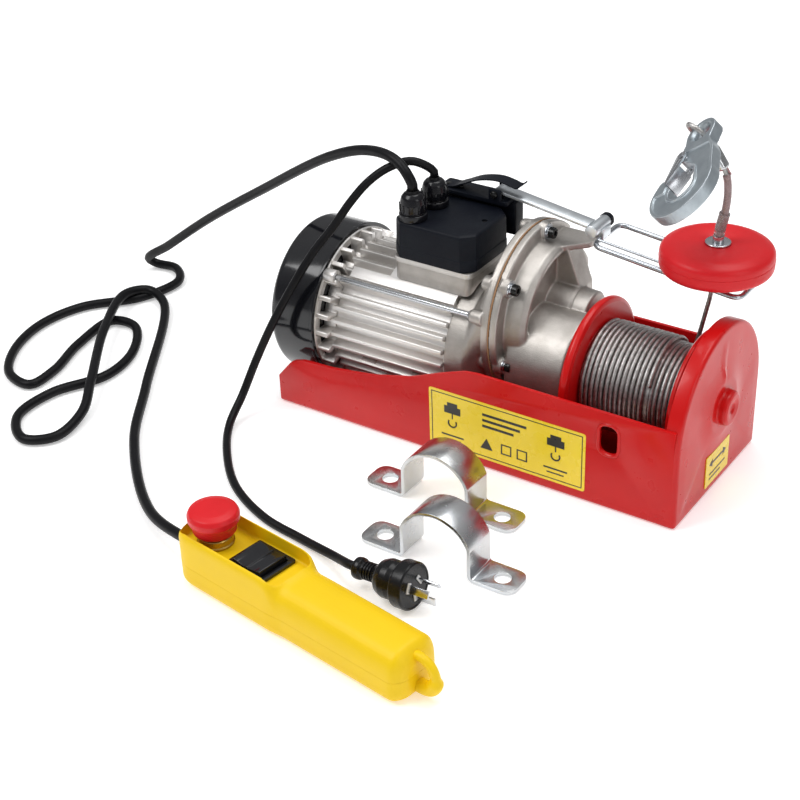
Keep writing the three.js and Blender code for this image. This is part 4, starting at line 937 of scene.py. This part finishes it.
def make_weight():
    (x, y), z0, z1, r = WEIGHT["place"], WEIGHT["low"], WEIGHT["high"], WEIGHT["r"]
    profile = [(2.4, z0), (34, z0, 4), (r, z0 + 2, 10), (r, z1 - 4, 8), (r - 9, z1, 14), (11.6, z1 + 0.4),
               (10.8, z1 - 0.4), (2.4, z1 - 0.4)]
    body = turned_z(rounded(profile, 0, 8), 128, x, y, loop=True)
    shown("weight", body, "hook_block", RED_PLASTIC, "red_plastic", "limit_weight", sharp=50)
    seam = [Vector((x + c, y + s, z0 + 12.5)) for c, s in circle(r + 0.02, 128)]
    shown("weight_seam", tube(seam, 0.22, 6, loop=True), "hook_block", RED_PLASTIC, "red_plastic")
    washer = turned_z([(2.4, z1 - 0.3), (10.0, z1 - 0.3), (10.4, z1 + 0.3), (10.4, z1 + 1.2),
                       (9.8, z1 + 1.7), (2.4, z1 + 1.9)], 72, x, y, loop=True)
    nut = turned_z([(2.3, z1 + 1.9), (4.6, z1 + 1.9), (4.4, z1 + 6.4), (3.4, z1 + 7.2), (2.3, z1 + 7.2)], 48,
                   x, y, loop=True)
    finished(bevelled(made("weight_washer", washer), 0.2, 2), "hook_block", ZINC, "zinc")
    shown("rope_stop", nut, "hook_block", ZINC, "zinc")


# ---- Hook: u is across, v from the eye to the bowl, w through the thickness ----
EYE = Vector((145.5, 45.0, 280.8))
LONG = Vector((0.177, -0.92, -0.349)).normalized()
SIDE = Vector((0.799, -0.072, 0.596))
ACROSS = (SIDE - LONG * SIDE.dot(LONG)).normalized()
NORMAL = -ACROSS.cross(LONG)
HOOK_PLACE = Matrix((ACROSS, LONG, -NORMAL)).transposed().to_4x4()
HOOK_PLACE.translation = EYE
BOWL = {"v": 62.0, "inner": 12.0, "outer": 30.0}
LATCH_PIN = (-10, 25)


def on_hook(u, v, w):
    """A point of the hook, with w measured towards the face that looks up."""
    return HOOK_PLACE @ Vector((u, v, -w))


def hook_outline(inset=0.0):
    """The hook from its shank round the bowl and the tip, and back round the eye."""
    outer, inner = BOWL["outer"] - inset, BOWL["inner"] + inset
    v = BOWL["v"]
    points = [(13 - inset, 12, 4), (21 - inset, 26, 10)]
    points += arc(0, v, outer, -24, 190, 40)
    points += [(-26.5, 47, 4), (-22.5, 44.0, 3), (-19.6, 49.5, 5)]
    points += arc(0, v, inner, 196, -22, 40)
    points += [(8, 41, 10), (-3, 32.5, 8), (-13.5 + inset, 26, 5), (-13.5 + inset, 20, 5),
               (-12.4 + inset, 10, 6)]
    points += arc(0, 0, 14 - inset, 172, 368, 30)
    return rounded(points, 0, 5, closed=True)


def make_hook():
    body = made("hook", prism(hook_outline(), "xy", -5, 5))
    for side in (-1, 1):
        sunk = prism(hook_outline(2.6), "xy", *sorted((side * 3.4, side * 8)))
        keep = [slab(-40, 40, -20, 19, -10, 10), slab(-40, -18, 40, 60, -10, 10)]
        pocket = made("pocket", sunk)
        cut(pocket, *keep)
        cut(body, ([tuple(p.co / MM) for p in pocket.data.vertices],
                   [list(f.vertices) for f in pocket.data.polygons]))
        bpy.data.objects.remove(pocket)
    eye = [(0, -7), (11.4, -7), (10.2, -5), (8.2, -2.4), (7.7, 0), (8.2, 2.4), (10.2, 5), (11.4, 7), (0, 7)]
    cut(body, turned_z(rounded(eye, 0.6, 3), 64))
    cast(body, 0.55, 5)
    place(body, HOOK_PLACE)
    finished(body, "hook", GALVANISED, "galvanised", "lifting_hook", sharp=180)
    pin = turned_z([(0, -7.9), (2.2, -7.9), (2.2, -7.2), (1.6, -7.0), (1.6, 7.0), (2.2, 7.2), (2.2, 7.9),
                    (0, 7.9)], 32, *LATCH_PIN)
    shown("latch_pin", moved(pin, HOOK_PLACE), "hook", ZINC, "zinc")
    coil = [on_hook(-10 + 3.0 * math.cos(a), 25 + 3.0 * math.sin(a), -5.2 + 10.4 * a / (TAU * 7))
            for a in (TAU * 7 * k / 200 for k in range(201))]
    legs = [on_hook(-16, 37, 5.2), on_hook(-13, 31, 5.1)]
    shown("latch_spring", tube(coil + legs[::-1], 0.45, 8), "latch", ZINC, "zinc", sharp=180)


def make_latch():
    """A folded sheet latch: two cheeks round the pin and a web that closes the throat."""
    cheek = rounded([(-15, 22, 2), (-12, 19, 3), (-6.6, 20.5, 3), (-6.2, 27, 3), (-9, 36, 4),
                     (-16.2, 52.5, 2), (-18.8, 51, 2), (-17.5, 40, 6)], 0, 4, closed=True)
    web = [(-9.6, 35.5), (-7.6, 36.5), (-16.2, 52.6), (-18.4, 51.4)]
    body = made("latch", prism(cheek, "xy", -7, -5.5))
    fused(body, prism(cheek, "xy", 5.5, 7), prism(web, "xy", -7, 7))
    cut(body, rod_z(1.9, -9, 9, 24, *LATCH_PIN))
    bevelled(body, 0.35, 2)
    place(body, HOOK_PLACE)
    finished(body, "latch", ZINC, "zinc", "hook_latch")


def make_ferrule_and_loop():
    foot, top = Vector((164, 45, 257)), Vector((153, 45, 272))
    out = (top - foot).normalized()
    side = Vector((0, 1, 0))
    across = out.cross(side)
    rings = []
    for share, inset in ((0, 0.9), (0.04, 0.25), (0.1, 0), (0.9, 0), (0.96, 0.25), (1, 0.9)):
        a, b = 3.6 - inset, 5.6 - inset
        ring = rectangle(-a, a, -b, b, 3.2, 8)
        rings.append([foot + out * ((top - foot).length * share) + across * p.x + side * p.y for p in ring])
    shown("sleeve_clamp", lofted(rings), "hook_block", PASSIVATED, "zinc", "ferrule", sharp=60)
    points = [top + Vector((0, -2.7, 0)) - out * 3, top + Vector((0, -2.7, 0)) + out * 2.5,
              on_hook(0, 1, -3), on_hook(-1, -1, 4), on_hook(-4, -3, 9.5), on_hook(-8.4, -6.3, 11.5),
              on_hook(-12.8, -9.6, 8.5), on_hook(-14.8, -11.1, 1), on_hook(-14.4, -10.8, -5),
              on_hook(-10, -7.5, -9.2), on_hook(-4, -2.2, -9.6), top + Vector((0, 2.7, 0)) + out * 2.4,
              top + Vector((0, 2.7, 0)) - out * 3]
    shown("eye_rope", rope(smooth_line(points, 0.9), 2.0, 14), "hook_block", ROPE_STEEL, "rope_steel",
          "rope_loop", sharp=180)
    end = foot + Vector((-0.6, 2.9, 0))
    shown("rope_ends", tube([end + out * 2, end - out * 7], 1.5, 16), "hook_block", SHEATH, "rope_steel")


# ---- Terminal box ----
LID = {"x0": -98.6, "x1": -18.3, "y0": -35.0, "y1": 34.5, "z0": 152.0, "z1": 185.0}
LID_SCREWS = ((-28, 4), (-90, -4))
GLANDS = {"gland_pendant": (-82.0, -22.0), "gland_mains": (-81.0, 10.0)}


def lid_ring(inset, z, c):
    """Outline of the lid at one height: a rectangle with cut corners."""
    x0, x1, y0, y1 = LID["x0"] + inset, LID["x1"] - inset, LID["y0"] + inset, LID["y1"] - inset
    points = [(x0 + c, y0), (x1 - c, y0), (x1, y0 + c), (x1, y1 - c), (x1 - c, y1), (x0 + c, y1),
              (x0, y1 - c), (x0, y0 + c)]
    return [(p.x, p.y, z) for p in rounded(points, 1.6, 3, closed=True)]


def make_terminal_box():
    x0, x1, y0, y1 = LID["x0"] + 2.4, LID["x1"] - 2.4, LID["y0"] + 2.4, LID["y1"] - 2.4
    rings = []
    for inset, z in ((-0.2, 118), (0.0, 140), (0.0, LID["z0"] - 0.3)):
        rings.append([(p.x, p.y, z) for p in rectangle(x0 + inset, x1 - inset, y0 + inset, y1 - inset, 7, 6)])
    base = made("terminal_box_base", lofted(rings))
    fused(base, slab(x0 - 0.8, x1 + 0.8, y0 - 0.8, y1 + 0.8, LID["z0"] - 5, LID["z0"] - 0.3, 7))
    cut(base, rod_x(63.3, -150, 0, 128), slab(x0 + 5, x1 - 5, y0 + 5, y1 - 5, 141, 160, 5))
    finished(bevelled(base, 0.5, 2, 50), "hoist", CAST, "cast_aluminium", "terminal_base")
    z0, z1, seam = LID["z0"], LID["z1"], LID["z0"] + 10.5
    steps = [(3.0, z0 + 0.4, 9), (0.4, z0 + 0.2, 10), (0, z0 + 0.8, 10), (0, seam - 0.4, 10),
             (0.35, seam, 10), (0.3, seam + 0.4, 10), (0.6, z1 - 3.0, 10), (1.0, z1 - 1.2, 10),
             (2.0, z1 - 0.3, 10), (3.4, z1, 10)]
    lid = made("terminal_box_lid", lofted([lid_ring(*step) for step in steps]))
    inner = lofted([lid_ring(2.8, z0 - 2, 9), lid_ring(3.0, z1 - 2.6, 9)])
    holes = [rod_z(8.2, z1 - 6, z1 + 2, 32, *spot) for spot in GLANDS.values()]
    holes += [rod_z(2.6, z1 - 1.6, z1 + 1, 32, *spot) for spot in LID_SCREWS]
    cut(lid, inner, *holes)
    finished(bevelled(lid, 0.25, 1, 50), "hoist", BLACK_MATTE, "black_matte", "terminal_lid", sharp=40)
    head = [(0, z1 - 2.4), (2.4, z1 - 2.4), (2.2, z1 - 1.3), (0, z1 - 1.2)]
    heads = [turned_z(head, 32, *spot) for spot in LID_SCREWS]
    shown("lid_screws", combined(*heads), "hoist", BLACK_OXIDE, "black_gloss")


def make_gland(node, x, y, cord_r):
    """A ribbed nut, a domed cap nut and a rubber throat that narrows onto the cord."""
    z = LID["z1"]
    stem = turned_z([(cord_r + 0.4, 178), (7.7, 178), (7.7, z + 0.4), (12, z + 0.4), (12.2, z + 1.4),
                     (12, z + 5.6), (11.0, z + 6.2), (10.2, z + 6.4), (10.2, z + 7), (cord_r + 0.4, z + 7)],
                    72, x, y, loop=True)
    cap = rounded([(cord_r + 0.4, z + 7.0, 0), (10.4, z + 7.0, 0.5), (11.2, z + 7.8, 0.6),
                   (11.2, z + 14.5, 1.5), (9.8, z + 20.5, 5), (7.4, z + 23.4, 3),
                   (cord_r + 1.2, z + 24.0, 1), (cord_r + 0.4, z + 23.4, 0)], 0, 5)
    domed = turned_z(cap, 72, x, y, loop=True)
    rib = slab(10.4, 11.9, -0.9, 0.9, z + 8.2, z + 14.8, 0.4)
    ribs = [shifted(turned(rib, 360 * k / 14, "Z"), x=x, y=y) for k in range(14)]
    throat = [(cord_r + 0.15, z + 20), (cord_r + 1.6, z + 20), (cord_r + 1.3, z + 24.6),
              (cord_r + 0.5, z + 26.0), (cord_r + 0.15, z + 26.0)]
    throat = turned_z(rounded(throat, 0.4, 3), 48, x, y, loop=True)
    nut = bevelled(made(node + "_body", combined(stem, domed, *ribs)), 0.2, 2, 50)
    finished(nut, "hoist", GLAND_BLACK, "black_gloss", node, sharp=40)
    shown(node + "_throat", throat, "hoist", BLACK_RUBBER, "black_rubber")
    return nut


# ---- Limit switch, lever and wire loop ----
PIVOT = (-34, 40, 197)  # the lever's pin


def strip_along(line, width, thick, centre_y):
    """A flat strip bent along a line in the XZ plane."""
    upper, lower = [], []
    for k, p in enumerate(line):
        a, b = line[max(k - 1, 0)], line[min(k + 1, len(line) - 1)]
        along = (b - a).normalized()
        off = Vector((-along.y, along.x)) * thick / 2
        upper.append(p + off)
        lower.append(p - off)
    return prism(upper + lower[::-1], "xz", centre_y - width / 2, centre_y + width / 2)


def make_limit_switch():
    body = made("switch_body", slab(-92, -18, 37.5, 52, 160, 188.6, 2.0))
    fused(body, slab(-92, -22, 29.5, 52, 188.3, 191.6, 2.5), slab(-40, -28, 29.5, 32.4, 190, 201, 1.2),
          slab(-40, -28, 47.6, 50.5, 190, 201, 1.2))
    fused(body, rod_y(2, 12, 32, *PIVOT))
    finished(bevelled(body, 0.5, 2), "hoist", BLACK_MATTE, "black_matte", "limit_switch")
    x, y, z = PIVOT
    heads = [turned_y([(0, 0), (3.4, 0), (3.2, 1.6), (2.2, 2.4), (0, 2.6)], 32, x, y - way * 10.6, z, way)
             for way in (1, -1)]
    rivets = [turned_z([(0, 191.5), (2.6, 191.5), (2.3, 192.6), (0, 193)], 32, x, 41) for x in (-86, -74)]
    shown("switch_rivets", combined(*heads, *rivets), "hoist", BLACK_OXIDE, "black_gloss")
    bend = [(-84, 192.2), (-78, 193.2), (-68, 197.6), (-53, 204.4), (-35, 207.8), (-22, 206.2),
            (-15.5, 204.8), (-11.5, 207.6)]
    line = smooth_line([(x, 0, z) for x, z in bend], 1.2)
    leaf = strip_along([Vector((p.x, p.z)) for p in line], 13, 1.2, 40)
    finished(bevelled(made("leaf", leaf), 0.2, 1), "hoist", BLACK_MATTE, "black_matte", "leaf_spring")


def make_lever():
    arm = [Vector((-36, 199.4)), Vector((-30, 198.4)), Vector((52.7, 186.0))]
    body = made("arm", strip_along(arm, 14, 2.4, PIVOT[1]))
    fused(body, rod_y(3.6, 7, 48, *PIVOT))
    cut(body, rod_y(2.3, 9, 32, *PIVOT))
    finished(bevelled(body, 0.35, 2), "lever", LEVER_ZINC, "zinc", "lever_arm")
    centre = (58.0, 42.5, 184.0)
    sleeve = [(0, -13.3), (5.1, -13.3), (5.5, -12.8), (5.5, 12.8), (5.1, 13.3), (0, 13.3)]
    clamp = made("sleeve", turned_y(sleeve, 64, *centre))
    fused(clamp, slab(51.5, 65.5, 37.5, 51.5, 175.6, 184, 1.2))
    finished(bevelled(clamp, 0.5, 2), "lever", LEVER_ZINC, "zinc", "lever_sleeve")
    cap = [(0, 12.6), (5.6, 12.6), (6.1, 13.2), (6.1, 17.0), (5.4, 18.2), (0, 18.6)]
    shown("sleeve_screw", turned_y(cap, 48, *centre, way=-1), "lever", BLACK_MATTE, "black_gloss")

    def height(x):
        """The wire loop drops a little towards its far end."""
        return 174.3 - (x - 62) * 0.115

    corners = [(62, 48), (62, 26), (192, 26), (192, 74), (62, 74), (62, 52)]
    outline = rounded([(x, y, 9) for x, y in corners], 9, 8)
    line = evenly([Vector((p.x, p.y, height(p.x))) for p in outline], 1.5)
    # The wire loop and its brace use the zinc whose base colour is darkened as painted shade.
    shown("wire_frame", tube(line, 2.25, 20), "lever", SHADED_WIRE_ZINC, "zinc", "wire_loop", sharp=60)
    upper = [(64, 33.5), (64, 29.5), (186, 29.5), (186, 33.5)]
    thin = [Vector((p.x, p.y, height(p.x) + 5.0)) for p in rounded([(x, y, 3.5) for x, y in upper], 3.5, 6)]
    shown("wire_frame_brace", tube(evenly(thin, 1.5), 1.1, 12), "lever", SHADED_WIRE_ZINC, "zinc", sharp=60)


# ---- Pendant control, in its own frame: head towards -x, tail towards +x ----
PENDANT = {"place": (13.0, -325.0, 0.0), "yaw": -8.7, "half": 116.5}
PENDANT_PLACE = Matrix.Translation(PENDANT["place"]) @ Matrix.Rotation(math.radians(PENDANT["yaw"]), 4, "Z")
FACE_Z = 36.0  # floor of the basin that the controls stand in
SEAM_Z = 20.0  # where the two halves of the shell meet
STOP_AT = (-89.0, -1.5)
ROCKER_X = -42.0


def blended(values, t):
    """A value between listed (position, value) stops, eased from stop to stop."""
    for (t0, v0), (t1, v1) in zip(values, values[1:]):
        if t <= t1:
            s = min(max((t - t0) / (t1 - t0), 0.0), 1.0)
            return v0 + (v1 - v0) * s * s * (3 - 2 * s)
    return values[-1][1]


def pendant_section(half, floor, top, r_top, r_low):
    corners = [(-half, floor, r_low), (half, floor, r_low), (half, top, r_top), (-half, top, r_top)]
    return rounded(corners, 0, 10, closed=True)


def end_tuck(depth, r):
    """How far a rounded end of radius r draws in, at this depth behind the end."""
    share = max(0.0, 1 - depth / r)
    return r * (1 - math.sqrt(max(1 - share * share, 0)))


def make_pendant_shell():
    length = PENDANT["half"]
    width = [(-length, 22.5), (-106, 25), (-14, 25), (4, 23.6), (108, 23.4), (length, 21)]
    top = [(-length, 46), (-108, 50), (-21, 50), (4, 43.5), (108, 42), (length, 38)]
    rings = []
    for k in range(118):
        x = -length + 2 * length * k / 117
        depth = length - abs(x)
        tuck, side_tuck = end_tuck(depth, 11), end_tuck(depth, 20 if x < 0 else 11)
        half, up = blended(width, x) - side_tuck * 0.8, blended(top, x) - tuck * 0.75
        radius = blended([(-length, 9), (-13, 9), (-2, 21.5), (length, 21.5)], x)
        ring = pendant_section(half, 0.3 + tuck * 0.5, up, min(radius, half * 0.9), 9)
        rings.append([(x, p.x, p.y) for p in ring])
    shell = made("pendant_body", lofted(rings))
    basin = prism(rectangle(-112, -5, -21.4, 21.4, 11, 10), "xy", FACE_Z, 70)
    cut(shell, basin)
    wall = cast(shell, 0.8, 4)
    low_cut = prism(rectangle(-105, 105, -16.5, 16.5, 6), "xy", 3, FACE_Z - 3)
    cut(wall, low_cut, rod_z(8.6, 30, 42, 48, *STOP_AT),
        slab(ROCKER_X - 17.3, ROCKER_X + 17.3, -16.3, 16.3, 30, 42))
    lower = wall.copy()
    lower.data = wall.data.copy()
    bpy.context.scene.collection.objects.link(lower)
    cut(wall, slab(-140, 140, -60, 60, -10, SEAM_Z + 0.1))
    cut(lower, slab(-140, 140, -60, 60, SEAM_Z - 0.1, 90))
    for piece, half in ((wall, "upper"), (lower, "lower")):
        piece.name = "pendant_" + half
        place(piece, PENDANT_PLACE)
        finished(piece, "pendant", YELLOW, "yellow_plastic", "pendant_shell_" + half, sharp=45)
    route = [(-6, 33), (3, 34), (10, 31), (14, 25), (15, 18), (11, 11), (4, 8.5), (-4, 8.5)]
    loop = smooth_line([(length + x, 0, z) for x, z in route], 1.2)
    total = line_length(loop)
    thicker = [(0, 0), (total * 0.5, 0), (total * 0.58, 1), (total, 1)]
    ear = made("hanging_loop", tube(loop, lambda s: 3.6 + 2.0 * blended(thicker, s), 24))
    place(ear, PENDANT_PLACE)
    finished(ear, "pendant", YELLOW, "yellow_plastic", sharp=60)


def place(piece, matrix):
    piece.data.transform(Matrix.Translation(matrix.translation * MM) @ matrix.to_3x3().to_4x4())


def on_pendant(name, mesh, body, material, slot, *nodes, bevel=0.0, sharp=40):
    piece = made(name, moved(mesh, PENDANT_PLACE))
    if bevel:
        bevelled(piece, bevel, 3, 30)
    return finished(piece, body, material, slot, *nodes, sharp=sharp)


def make_stop_button():
    cap = rounded([(0, 49.4), (15.0, 49.4, 0), (15.0, 46.6, 0), (16.0, 46.6, 0), (16.8, 47.6, 0.6),
                   (17.2, 51.4, 2), (18.0, 54.4, 3), (20, 57.2, 2), (20.2, 61.8, 2), (18.6, 65.2, 2.6),
                   (13, 66.9, 10), (0, 67.8)], 0, 6)
    on_pendant("stop_cap", turned_z(cap, 128, *STOP_AT), "stop_cap", RED_PLASTIC, "red_plastic",
               "estop_cap", sharp=60)
    ring = rounded([(8.4, 36.3), (14.6, 36.3), (14.6, 37.8, 0.4), (13.8, 38.4, 0.3), (13.8, 43.0, 0.5),
                    (13.2, 43.8, 0.3), (8.4, 43.8)], 0.2, 3)
    on_pendant("stop_collar", turned_z(ring, 96, *STOP_AT, loop=True), "pendant", BRASS, "brass",
               "estop_collar")


def make_rocker():
    ring = prism(rectangle(ROCKER_X - 19.5, ROCKER_X + 19.5, -18.5, 18.5, 1.6), "xy", FACE_Z + 0.3, 38.9)
    body = made("rocker_frame", moved(ring, PENDANT_PLACE))
    fused(body, moved(slab(ROCKER_X - 17, ROCKER_X + 17, -16, 16, 12, 37), PENDANT_PLACE))
    cut(body, moved(slab(ROCKER_X - 15.5, ROCKER_X + 15.5, -14.5, 14.5, 27, 44, 0.8), PENDANT_PLACE))
    finished(bevelled(body, 0.7, 3), "pendant", BLACK_GLOSS, "black_gloss", "contact_block")
    profile = [(-14.2, 30.5), (14.2, 30.5), (14.2, 43.4, 0.8), (9, 42.2, 8), (1.4, 40.9, 0),
               (0.9, 41.8, 0.4), (-0.9, 41.8, 0.4), (-1.4, 40.9, 0), (-9, 42.2, 8), (-14.2, 43.4, 0.8)]
    button = prism([(p.x + ROCKER_X, p.y) for p in rounded(profile, 0, 4, closed=True)], "xz", -14, 14)
    on_pendant("rocker", button, "rocker", BLACK_GLOSS, "black_gloss", "rocker_button", bevel=0.4)


# ---- Mains plug: its face is at the local origin and it looks along +x ----
def make_plug():
    r, back = 19.0, -PLUG["length"]
    profile = [(0, back, 0), (5.2, back, 0.4), (8.6, back + 0.8, 1), (8.9, back + 3.5, 2),
               (8.6, back + 6.2, 1), (6.4, back + 7.6, 1), (6.2, back + 17.5, 2), (8.4, -34, 4),
               (13.6, -29.5, 5), (15.6, -24, 4), (15.4, -18.5, 3), (13.7, -14.2, 2), (14.6, -12.2, 1),
               (18.6, -11.4, 1), (r, -10, 1), (r, -1.4, 0.8), (18, 0, 0.8), (17, 0, 0), (16.6, -0.6, 0),
               (0, -0.6, 0)]
    body = turned_x(rounded(profile, 0, 5), 96, 0, 0)
    ribs = []
    for k in range(4):
        x = back + 2.5 * k
        rib = rounded([(5.9, x + 8.6), (7.4, x + 8.9), (7.4, x + 9.9), (5.9, x + 10.2)], 0.3, 3)
        ribs.append(turned_x(rib, 64, 0, 0, loop=True))
    piece = made("plug_body", combined(body, *ribs))
    place(piece, PLUG_PLACE)
    finished(piece, "hoist", BLACK_RUBBER_GLOSS, "black_rubber", "mains_plug", sharp=50)
    pins, sleeves = [], []
    for lean, y, z in ((120, 6.9, 2.6), (60, -6.9, 2.6), (90, 0, -7.9)):
        pins.append(shifted(turned(slab(-1, 18.4, -3.1, 3.1, -0.8, 0.8, 0.5), lean, "X"), 0, y, z))
        sleeves.append(shifted(turned(slab(-0.7, 0.5, -4.2, 4.2, -1.8, 1.8, 0.8), lean, "X"), 0, y, z))
    blades = made("plug_pins", combined(*pins))
    place(blades, PLUG_PLACE)
    finished(bevelled(blades, 0.25, 2), "hoist", ZINC, "zinc")
    slots = made("plug_pin_seats", combined(*sleeves))
    place(slots, PLUG_PLACE)
    finished(bevelled(slots, 0.2, 1), "hoist", SEAT_GREY, "zinc")
    return piece, blades


# ---- Saddle clamps ----
CLAMPS = {
    "clamp_1": {"x": 60.0, "y": -202.5, "left": -73.4, "right": 68.0, "holes": (-56.2, 52.0)},
    "clamp_2": {"x": 15.7, "y": -134.2, "left": -70.7, "right": 72.3, "holes": (-53.1, 55.3)},
}


def clamp_line(left, right):
    """Middle of the bent strip in the XZ plane: foot, leg, arch, leg, foot."""
    leg, mid = 30.5, 1.5
    first, *middle, last = arc(0, 17, 32.5, 180 - 20.5, 20.5, 40)
    line = [(left, mid, 0), (-leg, mid, 4.5), (*first, 5), *middle, (*last, 5), (leg, mid, 4.5),
            (right, mid, 0)]
    return rounded(line, 0, 7)


def make_clamps():
    for moving, c in CLAMPS.items():
        node = "saddle_" + moving
        body = made(node + "_strip", strip_along(clamp_line(c["left"], c["right"]), 30, 3, 0))
        keep = rectangle(c["left"], c["right"], -15, 15, 11, 10)
        boolean(body, "INTERSECT", [prism(keep, "xy", -1, 60)])
        cut(body, *[rod_z(6.8, -1, 5, 48, x) for x in c["holes"]])
        bevelled(body, 0.45, 3, 40)
        body.data.transform(Matrix.Translation(Vector((c["x"], c["y"], 0)) * MM))
        finished(body, moving, PASSIVATED, "zinc", node, sharp=45)


# ---- Everything in order: the leads, with what they join, come first ----
plug, pins = make_plug()
pendant_gland = make_gland("gland_pendant", *GLANDS["gland_pendant"], PENDANT_CORD_R)
mains_gland = make_gland("gland_mains", *GLANDS["gland_mains"], MAINS_CORD_R)
make_cords()
for make_part in (
    make_tray, make_stickers, make_housing, make_bell, make_shield, make_cowl, make_tie_rod,
    make_inside, make_cover, make_bolts, make_drum, make_wound_rope, make_free_rope, make_weight,
    make_hook, make_latch, make_ferrule_and_loop, make_terminal_box, make_limit_switch, make_lever,
    make_pendant_shell, make_stop_button, make_rocker, make_clamps,
):
    make_part()
